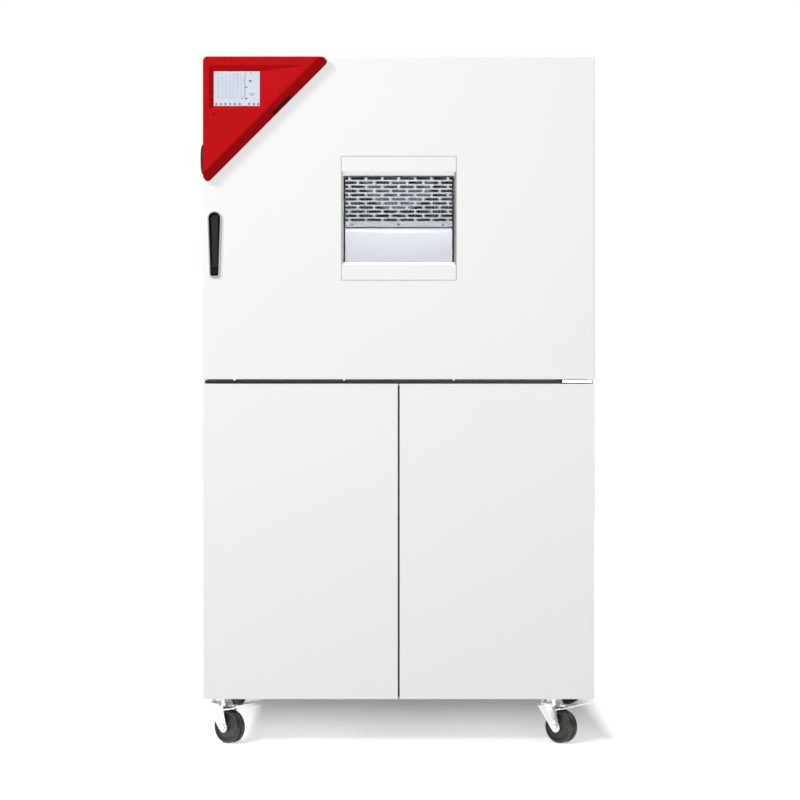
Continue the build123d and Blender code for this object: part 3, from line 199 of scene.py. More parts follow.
def soften(node, width, segments=2, angle=32.0):
    """Round the edges of a frame node with modifiers that leave its own mesh alone."""
    piece = NODES[node]
    weld = piece.modifiers.new("Weld", "WELD")
    weld.merge_threshold = 0.00002
    flatten = piece.modifiers.new("Flatten", "DECIMATE")
    flatten.decimate_type = "DISSOLVE"
    flatten.angle_limit = math.radians(0.5)
    bevel = piece.modifiers.new("Bevel", "BEVEL")
    bevel.width = width * MM
    bevel.segments = segments
    bevel.limit_method = "ANGLE"
    bevel.angle_limit = math.radians(angle)
    bevel.harden_normals = True
    bevel.use_clamp_overlap = True


def paint(node, finish):
    """Give a frame node its finish."""
    piece = NODES[node]
    piece.data.materials.clear()
    piece.data.materials.append(finish)


def dress(looks):
    """Round the edges of frame nodes and give them their finishes."""
    for node, (finish, width) in looks.items():
        soften(node, width)
        paint(node, FINISH[finish])


# Node helpers
def add_node(tree, kind, **values):
    """Add a node, and set inputs by name and properties by name."""
    made = tree.nodes.new(kind)
    for name, value in values.items():
        if hasattr(made, name):
            setattr(made, name, value)
        else:
            made.inputs[name.replace("_", " ")].default_value = value
    return made


def link(tree, source, target):
    """Join an output socket to an input socket."""
    tree.links.new(source, target)


def math_node(tree, operation, *values):
    """A math node fed by sockets or numbers; gives its output."""
    made = add_node(tree, "ShaderNodeMath", operation=operation)
    for index, value in enumerate(values):
        if isinstance(value, (int, float)):
            made.inputs[index].default_value = value
        else:
            link(tree, value, made.inputs[index])
    return made.outputs[0]


def map_range(tree, value, source=(0.0, 1.0), target=(0.0, 1.0), kind="LINEAR"):
    """Map a value from one range to another; gives the output."""
    made = add_node(tree, "ShaderNodeMapRange", interpolation_type=kind)
    link(tree, value, made.inputs["Value"])
    for name, number in zip(("From Min", "From Max", "To Min", "To Max"), source + target):
        made.inputs[name].default_value = number
    return made.outputs[0]


def along_axis(tree, axis, value):
    """A vector with a value along X, Y or Z."""
    made = tree.nodes.new("ShaderNodeCombineXYZ")
    link(tree, value, made.inputs[axis])
    return made.outputs[0]


def shader_group(name, inputs):
    """A shader group from input defaults, that gives colour, roughness and height."""
    tree = bpy.data.node_groups.new(name, "ShaderNodeTree")
    kinds = {1: "NodeSocketFloat", 3: "NodeSocketVector", 4: "NodeSocketColor"}
    for socket_name, default in inputs.items():
        size = len(default) if isinstance(default, tuple) else 1
        socket = tree.interface.new_socket(socket_name, in_out="INPUT", socket_type=kinds[size])
        socket.default_value = default
    for socket_name, size in (("Color", 4), ("Roughness", 1), ("Height", 1)):
        tree.interface.new_socket(socket_name, in_out="OUTPUT", socket_type=kinds[size])
    return tree, tree.nodes.new("NodeGroupInput"), tree.nodes.new("NodeGroupOutput")


def follow_pattern(tree, given, result, pattern, tone, rough_change, depth):
    """Let colour, roughness and height follow a pattern."""
    shade = add_node(tree, "ShaderNodeVectorMath", operation="SCALE")
    link(tree, given.outputs["Color"], shade.inputs[0])
    link(tree, tone, shade.inputs["Scale"])
    link(tree, shade.outputs[0], result.inputs["Color"])
    rough = math_node(tree, "MULTIPLY_ADD", pattern, rough_change, given.outputs["Roughness"])
    link(tree, rough, result.inputs["Roughness"])
    link(tree, math_node(tree, "MULTIPLY", pattern, given.outputs[depth]), result.inputs["Height"])


def powder_coat_group():
    """Fine pebbled grain and slow tone changes of baked paint or moulded plastic."""
    tree, given, result = shader_group(
        "Powder Coat",
        {
            "Color": (0.8, 0.8, 0.8, 1.0),
            "Roughness": 0.4,
            "Grain Size": 900.0,
            "Grain Depth": 0.5,
            "Tone Change": 0.02,
        },
    )
    place = tree.nodes.new("ShaderNodeTexCoord")
    grain = add_node(tree, "ShaderNodeTexNoise", Detail=3.0, Roughness=0.55)
    link(tree, place.outputs["Object"], grain.inputs["Vector"])
    link(tree, given.outputs["Grain Size"], grain.inputs["Scale"])
    slow = add_node(tree, "ShaderNodeTexNoise", Scale=3.0, Detail=2.0)
    link(tree, place.outputs["Object"], slow.inputs["Vector"])
    tone = math_node(tree, "MULTIPLY_ADD", slow.outputs["Fac"], given.outputs["Tone Change"], 0.99)
    follow_pattern(tree, given, result, grain.outputs["Fac"], tone, 0.06, "Grain Depth")
    return tree


def brushed_group():
    """Long fine scratches along one axis, as brushed or rolled steel sheet has."""
    tree, given, result = shader_group(
        "Brushed Sheet",
        {
            "Color": (0.6, 0.62, 0.64, 1.0),
            "Roughness": 0.3,
            "Stretch": (4.0, 900.0, 900.0),
            "Depth": 0.4,
        },
    )
    place = tree.nodes.new("ShaderNodeTexCoord")
    scaled = add_node(tree, "ShaderNodeVectorMath", operation="MULTIPLY")
    link(tree, place.outputs["Object"], scaled.inputs[0])
    link(tree, given.outputs["Stretch"], scaled.inputs[1])
    lines = add_node(tree, "ShaderNodeTexNoise", Scale=1.0, Detail=4.0, Roughness=0.6)
    link(tree, scaled.outputs[0], lines.inputs["Vector"])
    tone = map_range(tree, lines.outputs["Fac"], target=(0.9, 1.05))
    follow_pattern(tree, given, result, lines.outputs["Fac"], tone, 0.12, "Depth")
    return tree


GROUPS = {}


def use_group(material, name, **values):
    """Place a shared group in a material and join it to the shader with a bump."""
    tree = material.node_tree
    shader = tree.nodes["Principled BSDF"]
    made = tree.nodes.new("ShaderNodeGroup")
    made.node_tree = GROUPS[name]
    for key, value in values.items():
        made.inputs[key.replace("_", " ")].default_value = value
    link(tree, made.outputs["Color"], shader.inputs["Base Color"])
    link(tree, made.outputs["Roughness"], shader.inputs["Roughness"])
    bump = add_node(tree, "ShaderNodeBump", Strength=0.25, Distance=0.0002)
    link(tree, made.outputs["Height"], bump.inputs["Height"])
    link(tree, bump.outputs["Normal"], shader.inputs["Normal"])
    return made


def new_material(name, **sockets):
    """A material with one Principled shader and the given constant sockets."""
    material = bpy.data.materials.new(name)
    material.use_nodes = True
    shader = material.node_tree.nodes["Principled BSDF"]
    for key, value in sockets.items():
        shader.inputs[key.replace("_", " ")].default_value = value
    return material


def coated(name, color, roughness, grain=900.0, depth=0.5, tone=0.02, specular=0.5):
    """A painted or moulded finish."""
    material = new_material(name, Specular_IOR_Level=specular)
    values = {"Color": (*color, 1.0), "Roughness": roughness, "Grain_Size": grain}
    use_group(material, "powder", Grain_Depth=depth, Tone_Change=tone, **values)
    return material


def brushed(name, color, roughness, stretch, depth=0.4, metallic=1.0):
    """A bare metal finish with a grain direction."""
    material = new_material(name, Metallic=metallic)
    use_group(material, "brushed", Color=(*color, 1.0), Roughness=roughness, Stretch=stretch, Depth=depth)
    return material


def thin_glass(name, color, alpha):
    """A clear pane that lets light through and keeps its gloss."""
    material = new_material(name, Roughness=0.02, Alpha=alpha, IOR=1.45)
    material.node_tree.nodes["Principled BSDF"].inputs["Base Color"].default_value = (*color, 1.0)
    material.surface_render_method = "BLENDED"
    return material


def glow(name, color, strength):
    """A surface that gives off light of its own."""
    material = new_material(name, Roughness=0.25)
    shader = material.node_tree.nodes["Principled BSDF"]
    shader.inputs["Base Color"].default_value = (*color, 1.0)
    shader.inputs["Emission Color"].default_value = (*color, 1.0)
    shader.inputs["Emission Strength"].default_value = strength
    return material


FINISH = {}

# Name, colour, roughness, grain size, grain depth, tone change and specular level
COATS = {
    "grey": ("grey paint", (0.42, 0.43, 0.44), 0.45),
    "black": ("black paint", (0.018, 0.018, 0.02), 0.4),
    "slot black": ("black slot", (0.006, 0.004, 0.004), 0.6, 900.0, 0.5, 0.02, 0.08),
    "plug black": ("black plug", (0.008, 0.008, 0.008), 0.5, 700.0, 0.6, 0.02, 0.2),
    "fan grey": ("grey fan wheel", (0.2, 0.22, 0.23), 0.5, 700.0, 0.3),
    # The coil fins are near black: painted shade of the space behind the slotted baffle.
    "dark fins": ("dark coil fins", (0.06, 0.068, 0.072), 0.6, 700.0, 0.4),
    "rim": ("light rim", (0.5, 0.51, 0.52), 0.32, 1200.0, 0.2),
    "plastic black": ("black plastic", (0.02, 0.02, 0.021), 0.42),
    "foam": ("insulation foam", (0.72, 0.66, 0.42), 0.9, 260.0, 2.0, 0.1),
    "rubber": ("black rubber", (0.02, 0.02, 0.02), 0.6, 700.0, 0.8),
    "silicone": ("grey silicone", (0.33, 0.33, 0.32), 0.5, 700.0, 0.4),
    "trim line": ("grey gasket", (0.27, 0.28, 0.28), 0.5, 800.0, 0.3),
    "ink": ("display marks", (0.1, 0.13, 0.2), 0.4),
    "pale ink": ("display grid", (0.36, 0.42, 0.52), 0.4),
}

# Name, colour, roughness, stretch of the grain, depth and metallic share
METALS = {
    # The slotted steel and the tank steel are copies of one chamber steel: the baffle's copy is darker,
    # painted shade.
    "slot steel": ("dull slotted steel", (0.52, 0.55, 0.565), 0.5, (3.0, 700.0, 700.0), 0.1, 0.1),
    "steel x": ("brushed steel", (0.62, 0.68, 0.71), 0.36, (3.0, 900.0, 900.0), 0.3, 0.7),
    # The tank's copy of the chamber steel is lighter, painted light.
    "tank steel": ("bright tank steel", (0.9, 0.9, 0.915), 0.42, (3.0, 700.0, 700.0), 0.15, 0.2),
    "steel z": ("upright brushed steel", (0.62, 0.65, 0.68), 0.28, (900.0, 900.0, 3.0)),
    "zinc": ("bright zinc", (0.78, 0.79, 0.79), 0.2, (60.0, 60.0, 60.0), 0.06),
    "aluminium": ("bare aluminium", (0.72, 0.73, 0.75), 0.3, (500.0, 500.0, 20.0)),
    "copper": ("copper tube", (0.72, 0.33, 0.2), 0.25, (80.0, 80.0, 80.0), 0.2),
}


def make_finishes(colors):
    """Build the shared groups and every finish of the chamber."""
    GROUPS["powder"] = powder_coat_group()
    GROUPS["brushed"] = brushed_group()
    for key, values in COATS.items():
        FINISH[key] = coated(*values)
    for key, values in METALS.items():
        FINISH[key] = brushed(*values)
    FINISH["white"] = coated("white powder coat", tuple(colors.cabinet_white), 0.38, 1400.0, 0.6, 0.015)
    FINISH["red"] = coated("red moulding", tuple(colors.controller_red), 0.34, 1800.0, 0.35, 0.03, 0.05)
    handle = tuple(colors.handle_black)
    FINISH["pocket"] = coated("black handle moulding", handle, 0.34, 1200.0, 0.4, 0.02, 0.25)
    FINISH["tread"] = coated("wheel tread", tuple(colors.wheel_tread), 0.34, 500.0, 0.9, 0.1)
    FINISH["screen"] = glow("display glass", (0.59, 0.63, 0.71), 0.07)
    FINISH["pane"] = thin_glass("window pane", (0.03, 0.035, 0.04), 0.035)
    # Painted light: the white window lining and spacers glow, though they are no lamp.
    FINISH["tunnel white"] = glow("lit window edge", (0.86, 0.86, 0.87), 0.4)
    FINISH["lamp"] = glow("lamp cover", (0.9, 0.96, 1.0), 1.2)


# Geometry node trees
SOCKET_KINDS = {float: "Float", int: "Int", tuple: "Vector", type(None): "Material"}


def geometry_tree(name, inputs):
    """A new geometry node tree with inputs by name and default, and its input and output nodes."""
    tree = bpy.data.node_groups.new(name, "GeometryNodeTree")
    tree.interface.new_socket("Geometry", in_out="INPUT", socket_type="NodeSocketGeometry")
    tree.interface.new_socket("Geometry", in_out="OUTPUT", socket_type="NodeSocketGeometry")
    for socket_name, default in inputs.items():
        kind = "NodeSocket" + SOCKET_KINDS[type(default)]
        socket = tree.interface.new_socket(socket_name, in_out="INPUT", socket_type=kind)
        if default is not None:
            socket.default_value = default
    return tree, tree.nodes.new("NodeGroupInput"), tree.nodes.new("NodeGroupOutput")


def close_tree(tree, geometry, given, result):
    """End a tree in Realize Instances and Set Material."""
    real = tree.nodes.new("GeometryNodeRealizeInstances")
    dress = tree.nodes.new("GeometryNodeSetMaterial")
    link(tree, geometry, real.inputs["Geometry"])
    link(tree, real.outputs["Geometry"], dress.inputs["Geometry"])
    link(tree, given.outputs["Material"], dress.inputs["Material"])
    link(tree, dress.outputs["Geometry"], result.inputs["Geometry"])


def grow(name, tree, values, body, points=((0.0, 0.0, 0.0),), smooth=None):
    """Run a tree on a set of points and keep the result as a plain mesh piece."""
    seed = bpy.data.meshes.new(name + "_seed")
    seed.from_pydata([tuple(point) for point in points], [], [])
    carrier = bpy.data.objects.new(name + "_seed", seed)
    bpy.context.scene.collection.objects.link(carrier)
    modifier = carrier.modifiers.new("Grow", "NODES")
    modifier.node_group = tree
    sockets = {item.name: item.identifier for item in tree.interface.items_tree if item.in_out == "INPUT"}
    for key, value in values.items():
        modifier[sockets[key]] = value
    bpy.context.view_layer.update()
    ready = carrier.evaluated_get(bpy.context.evaluated_depsgraph_get())
    mesh = bpy.data.meshes.new_from_object(ready)
    mesh.name = name
    bpy.data.objects.remove(carrier)
    return add_piece(name, mesh, None, body, smooth)


def slotted_sheet_tree():
    """A flat sheet in XZ with staggered rows of round-ended slots."""
    tree, given, result = geometry_tree(
        "Slotted Sheet",
        {
            "Width": 0.6,
            "Low": 0.0,
            "High": 0.2,
            "Front": 0.0,
            "Thickness": 0.0015,
            "Rows": 11,
            "Slots": 12,
            "Pitch X": 0.04,
            "Pitch Z": 0.01,
            "First Row": 0.0,
            "Slot Length": 0.035,
            "Slot Height": 0.0066,
            "Material": None,
        },
    )
    values = given.outputs
    new = tree.nodes.new
    count = math_node(tree, "MULTIPLY", values["Rows"], values["Slots"])
    points = new("GeometryNodePoints")
    link(tree, count, points.inputs["Count"])
    index = new("GeometryNodeInputIndex").outputs[0]
    shifted = math_node(tree, "ADD", index, 0.5)
    row = math_node(tree, "FLOOR", math_node(tree, "DIVIDE", shifted, values["Slots"]))
    column = math_node(tree, "SUBTRACT", index, math_node(tree, "MULTIPLY", row, values["Slots"]))
    odd = math_node(tree, "MODULO", row, 2.0)
    half = math_node(tree, "MULTIPLY", math_node(tree, "SUBTRACT", values["Slots"], 1.0), 0.5)
    centred = math_node(tree, "SUBTRACT", column, half)
    step = math_node(tree, "ADD", centred, math_node(tree, "MULTIPLY", odd, 0.5))
    place = new("ShaderNodeCombineXYZ")
    link(tree, math_node(tree, "MULTIPLY", step, values["Pitch X"]), place.inputs["X"])
    height = math_node(tree, "MULTIPLY", row, values["Pitch Z"])
    link(tree, math_node(tree, "ADD", height, values["First Row"]), place.inputs["Y"])
    link(tree, place.outputs[0], points.inputs["Position"])
    last = math_node(tree, "SUBTRACT", values["Slots"], 1.5)
    extra = math_node(tree, "MULTIPLY", odd, math_node(tree, "GREATER_THAN", column, last))
    thin = add_node(tree, "GeometryNodeDeleteGeometry", domain="POINT")
    link(tree, points.outputs[0], thin.inputs["Geometry"])
    link(tree, extra, thin.inputs["Selection"])
    slot = new("GeometryNodeCurvePrimitiveQuadrilateral")
    link(tree, values["Slot Length"], slot.inputs["Width"])
    link(tree, values["Slot Height"], slot.inputs["Height"])
    ends = add_node(tree, "GeometryNodeFilletCurve", mode="POLY")
    ends.inputs["Count"].default_value = 5
    link(tree, slot.outputs[0], ends.inputs["Curve"])
    link(tree, math_node(tree, "MULTIPLY", values["Slot Height"], 0.499), ends.inputs["Radius"])
    cut = new("GeometryNodeInstanceOnPoints")
    link(tree, thin.outputs[0], cut.inputs["Points"])
    link(tree, ends.outputs[0], cut.inputs["Instance"])
    holes = new("GeometryNodeRealizeInstances")
    link(tree, cut.outputs[0], holes.inputs[0])
    edge = new("GeometryNodeCurvePrimitiveQuadrilateral")
    link(tree, values["Width"], edge.inputs["Width"])
    link(tree, math_node(tree, "SUBTRACT", values["High"], values["Low"]), edge.inputs["Height"])
    lift = new("GeometryNodeTransform")
    middle_z = math_node(tree, "MULTIPLY", math_node(tree, "ADD", values["High"], values["Low"]), 0.5)
    link(tree, along_axis(tree, "Y", middle_z), lift.inputs["Translation"])
    link(tree, edge.outputs[0], lift.inputs["Geometry"])
    joined = new("GeometryNodeJoinGeometry")
    link(tree, lift.outputs[0], joined.inputs[0])
    link(tree, holes.outputs[0], joined.inputs[0])
    fill = new("GeometryNodeFillCurve")
    link(tree, joined.outputs[0], fill.inputs["Curve"])
    pull = add_node(tree, "GeometryNodeExtrudeMesh", mode="FACES")
    pull.inputs["Individual"].default_value = False
    link(tree, fill.outputs[0], pull.inputs["Mesh"])
    link(tree, values["Thickness"], pull.inputs["Offset Scale"])
    flip = new("GeometryNodeFlipFaces")
    link(tree, fill.outputs[0], flip.inputs[0])
    closed = new("GeometryNodeJoinGeometry")
    link(tree, pull.outputs["Mesh"], closed.inputs[0])
    link(tree, flip.outputs[0], closed.inputs[0])
    weld = new("GeometryNodeMergeByDistance")
    link(tree, closed.outputs[0], weld.inputs["Geometry"])
    weld.inputs["Distance"].default_value = 0.00001
    stand = new("GeometryNodeTransform")
    stand.inputs["Rotation"].default_value = (math.pi / 2, 0.0, 0.0)
    back = math_node(tree, "ADD", values["Front"], values["Thickness"])
    link(tree, along_axis(tree, "Y", back), stand.inputs["Translation"])
    link(tree, weld.outputs[0], stand.inputs["Geometry"])
    close_tree(tree, stand.outputs[0], given, result)
    return tree


def screws_tree():
    """Round screw heads with a raised rim and a hexagon recess on the seed points."""
    tree, given, result = geometry_tree(
        "Screw Heads",
        {
            "Radius": 0.003,
            "Height": 0.002,
            "Recess": 0.0014,
            "Turn": (0.0, 0.0, 0.0),
            "Material": None,
        },
    )
    values = given.outputs
    new = tree.nodes.new
    head = new("GeometryNodeMeshCylinder")
    head.inputs["Vertices"].default_value = 20
    link(tree, values["Radius"], head.inputs["Radius"])
    link(tree, values["Height"], head.inputs["Depth"])
    cap = new("GeometryNodeMeshCone")
    cap.inputs["Vertices"].default_value = 20
    link(tree, values["Radius"], cap.inputs["Radius Bottom"])
    link(tree, math_node(tree, "MULTIPLY", values["Radius"], 0.72), cap.inputs["Radius Top"])
    rise = math_node(tree, "MULTIPLY", values["Height"], 0.35)
    link(tree, rise, cap.inputs["Depth"])
    on_top = along_axis(tree, "Z", math_node(tree, "MULTIPLY", values["Height"], 0.5))
    cap_place = new("GeometryNodeTransform")
    link(tree, cap.outputs["Mesh"], cap_place.inputs["Geometry"])
    link(tree, on_top, cap_place.inputs["Translation"])
    hexagon = new("GeometryNodeMeshCylinder")
    hexagon.inputs["Vertices"].default_value = 6
    link(tree, values["Recess"], hexagon.inputs["Radius"])
    link(tree, values["Height"], hexagon.inputs["Depth"])
    above = along_axis(tree, "Z", math_node(tree, "MULTIPLY", values["Height"], 0.9))
    hex_place = new("GeometryNodeTransform")
    link(tree, hexagon.outputs["Mesh"], hex_place.inputs["Geometry"])
    link(tree, above, hex_place.inputs["Translation"])
    cut = add_node(tree, "GeometryNodeMeshBoolean", operation="DIFFERENCE", solver="EXACT")
    whole = add_node(tree, "GeometryNodeMeshBoolean", operation="UNION", solver="EXACT")
    many = whole.inputs["Mesh 2"]
    link(tree, head.outputs["Mesh"], many)
    link(tree, cap_place.outputs[0], many)
    link(tree, whole.outputs["Mesh"], cut.inputs[0])
    link(tree, hex_place.outputs[0], cut.inputs[1])
    spread = new("GeometryNodeInstanceOnPoints")
    link(tree, given.outputs["Geometry"], spread.inputs["Points"])
    link(tree, cut.outputs["Mesh"], spread.inputs["Instance"])
    link(tree, values["Turn"], spread.inputs["Rotation"])
    close_tree(tree, spread.outputs[0], given, result)
    return tree


def fins_tree():
    """A flat plate on each seed point."""
    inputs = {"Size": (0.001, 0.02, 0.2), "Material": None}
    tree, given, result = geometry_tree("Fin Pack", inputs)
    plate = tree.nodes.new("GeometryNodeMeshCube")
    link(tree, given.outputs["Size"], plate.inputs["Size"])
    spread = tree.nodes.new("GeometryNodeInstanceOnPoints")
    link(tree, given.outputs["Geometry"], spread.inputs["Points"])
    link(tree, plate.outputs["Mesh"], spread.inputs["Instance"])
    close_tree(tree, spread.outputs[0], given, result)
    return tree


# Turns that lay a screw's top towards one side
TOWARDS = {"front": (math.pi / 2, 0.0, 0.0), "down": (math.pi, 0.0, 0.0)}
TREES = {}


def screws(name, points, towards, radius, body, finish="zinc", height=2.0):
    """A group of like screw heads at points in millimetres."""
    values = {
        "Radius": radius * MM,
        "Height": height * MM,
        "Recess": radius * 0.45 * MM,
        "Turn": TOWARDS[towards],
        "Material": FINISH[finish],
    }
    places = [tuple(value * MM for value in point) for point in points]
    return grow(name, TREES["screws"], values, body, places, smooth=30)


# Settings that a user would change
def color_setting(name, description, default):
    """A colour that a user can pick."""
    limits = {"min": 0.0, "max": 1.0, "subtype": "COLOR"}
    return bpy.props.FloatVectorProperty(name=name, description=description, default=default, **limits)


def lamp_setting(name, description, default):
    """The power of a lamp in watts."""
    return bpy.props.FloatProperty(name=name, description=description, default=default, unit="POWER")


class ChamberColors(bpy.types.PropertyGroup):
    """Colours of the chamber's finishes."""

    cabinet_white: color_setting("Cabinet White", "Powder coat of the doors and panels", (0.83, 0.845, 0.84))
    controller_red: color_setting("Controller Red", "Moulded housing of the controller", (0.47, 0.003, 0.005))
    handle_black: color_setting("Handle Black", "Moulded pocket and lever", (0.012, 0.008, 0.007))
    wheel_tread: color_setting("Wheel Tread", "Dark olive tyres of the castors", (0.03, 0.029, 0.022))


class StudioSettings(bpy.types.PropertyGroup):
    """Lamps, floor and camera of the studio."""

    sky: bpy.props.FloatProperty(name="Sky", description="Strength of the even light", default=0.3, min=0.0)
    key: lamp_setting("Key", "Power of the overhead lamp", 410.0)
    front: lamp_setting("Front", "Power of the front lamp", 80.0)
    raking: lamp_setting("Raking", "Power of the lamp from the upper left", 200.0)
    camera_height: bpy.props.FloatProperty(
        name="Camera Height",
        description="Height of the level camera over the floor",
        default=0.828,
        unit="LENGTH",
    )
    camera_distance: bpy.props.FloatProperty(
        name="Camera Distance",
        description="Distance of the camera from the middle of the chamber",
        default=6.34,
        unit="LENGTH",
    )


def settings():
    """The colours and the studio settings of the scene."""
    return bpy.context.scene.chamber_colors, bpy.context.scene.chamber_studio


# Operators
class BuildFinishes(bpy.types.Operator):
    """Make the finishes and node trees that every other step uses"""

    bl_idname = "test_chamber.finishes"
    bl_label = "Finishes"

    def execute(self, context):
        make_finishes(settings()[0])
        TREES["slots"] = slotted_sheet_tree()
        TREES["screws"] = screws_tree()
        TREES["fins"] = fins_tree()
        return {"FINISHED"}


class DressCabinet(bpy.types.Operator):
    """Finish the side panels, rear cover, divider and frame"""

    bl_idname = "test_chamber.cabinet"
    bl_label = "Cabinet"

    def execute(self, context):
        looks = {
            "cabinet_panels": ("white", 0.8),
            "rear_cover": ("white", 0.4),
            "front_divider": ("black", 0.5),
            "front_collar": ("steel x", 0.3),
            "base_frame": ("grey", 1.5),
            "upright_posts": ("zinc", 1.0),
            "machine_decks": ("zinc", 0.4),
        }
        dress(looks)
        bm = bmesh.new()
        leaf = span("left_service_door", "z")
        back = span("left_service_door", "y")[1]
        depth = (back + 0.1 * MM, back + 3.0 * MM)
        cuboid(bm, (-7 * MM, 7 * MM), depth, (leaf[0] + 4 * MM, leaf[1] - 4 * MM))
        mesh_object("centre_seal", bm, FINISH["rubber"], "cabinet")
        return {"FINISHED"}


class DressDoor(bpy.types.Operator):
    """Finish the upper door with its window, seal and hinges"""

    bl_idname = "test_chamber.door"
    bl_label = "Upper Door"

    # Wall of the lining and spacers, front and back of each spacer, and the edge screws, in millimetres
    WALL = 0.8
    SPACER_DEPTHS = ((-433.5, -421.0), (-416.0, -403.5), (-398.5, -386.0))
    SCREW_X = (-372.0, -124.0, 124.5, 373.0)
    SCREW_Y = -431.0

    def execute(self, context):
        looks = {
            "door_skin": ("white", 1.2),
            "door_liner": ("steel z", 0.3),
            "door_foam": ("foam", 0.5),
            "door_seal": ("silicone", 2.0),
            "window_panes": ("pane", 0.4),
            "door_hardware": ("zinc", 0.5),
            "hinge_arms": ("zinc", 0.6),
        }
        dress(looks)
        self.build_window()
        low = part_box("door_skin")[0]
        places = [(x, self.SCREW_Y, low[2] / MM) for x in self.SCREW_X]
        screws("door_edge_screws", places, "down", 4.2, "door", height=4.0)
        return {"FINISHED"}

    def build_window(self):
        """The lining and spacers with painted glow, the printed bands, the gasket line and the dark strips of
        painted shade at the sides of the window.
        """
        width, opening, sight = in_mm(-130.0, 130.0), in_mm(1053.75, 1333.75), in_mm(1088.75, 1298.75)
        wall = self.WALL * MM
        bm = bmesh.new()
        ring(bm, width, in_mm(-435.0, -433.5), opening, wall, 35.0 * MM)
        ring(bm, width, in_mm(-433.5, -381.0), sight, wall, 4.0 * MM)
        # The lining here and the spacers below carry painted glow.
        lining = mesh_object("window_tunnel", bm, FINISH["tunnel white"], "door")
        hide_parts("window_lining")
        bm = bmesh.new()
        inside, between = in_mm(-129.2, 129.2), in_mm(1092.75, 1294.75)
        for depths in self.SPACER_DEPTHS:
            ring(bm, inside, in_mm(*depths), between, wall, 1.5 * MM)
        spacers = mesh_object("pane_spacers", bm, FINISH["tunnel white"], "door")
        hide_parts("window_spacers")
        bm = bmesh.new()
        ring(bm, in_mm(-129.2, 129.2), in_mm(-440.2, -439.95), in_mm(1054.5, 1333.0), 0.8 * MM, 34.2 * MM)
        mesh_object("printed_bands", bm, FINISH["white"], "door")
        bm = bmesh.new()
        ring(bm, in_mm(-130.6, 130.6), in_mm(-440.3, -438.8), in_mm(1053.2, 1334.3), 1.2 * MM, 1.0 * MM)
        mesh_object("window_gasket", bm, FINISH["trim line"], "door")
        # Painted shade: dark strips down the sides of the view through the window, the right one wider for
        # the deeper shade on that side.
        bm = bmesh.new()
        cuboid(bm, in_mm(-128.6, -127.2), in_mm(-440.15, -438.0), in_mm(1089.0, 1298.5))
        cuboid(bm, in_mm(126.4, 129.0), in_mm(-440.15, -438.0), in_mm(1089.0, 1298.5))
        mesh_object("window_side_seals", bm, FINISH["slot black"], "door")


class DressHandle(bpy.types.Operator):
    """Finish the handle pocket, its rim, lever and catch"""

    bl_idname = "test_chamber.handle"
    bl_label = "Handle"

    def execute(self, context):
        looks = {
            "handle_bezel": ("rim", 1.0),
            "handle_pocket": ("pocket", 0.4),
            "door_lever": ("pocket", 1.2),
            "release_pin": ("zinc", 0.5),
            "roller_catch": ("steel z", 0.3),
        }
        dress(looks)
        return {"FINISHED"}


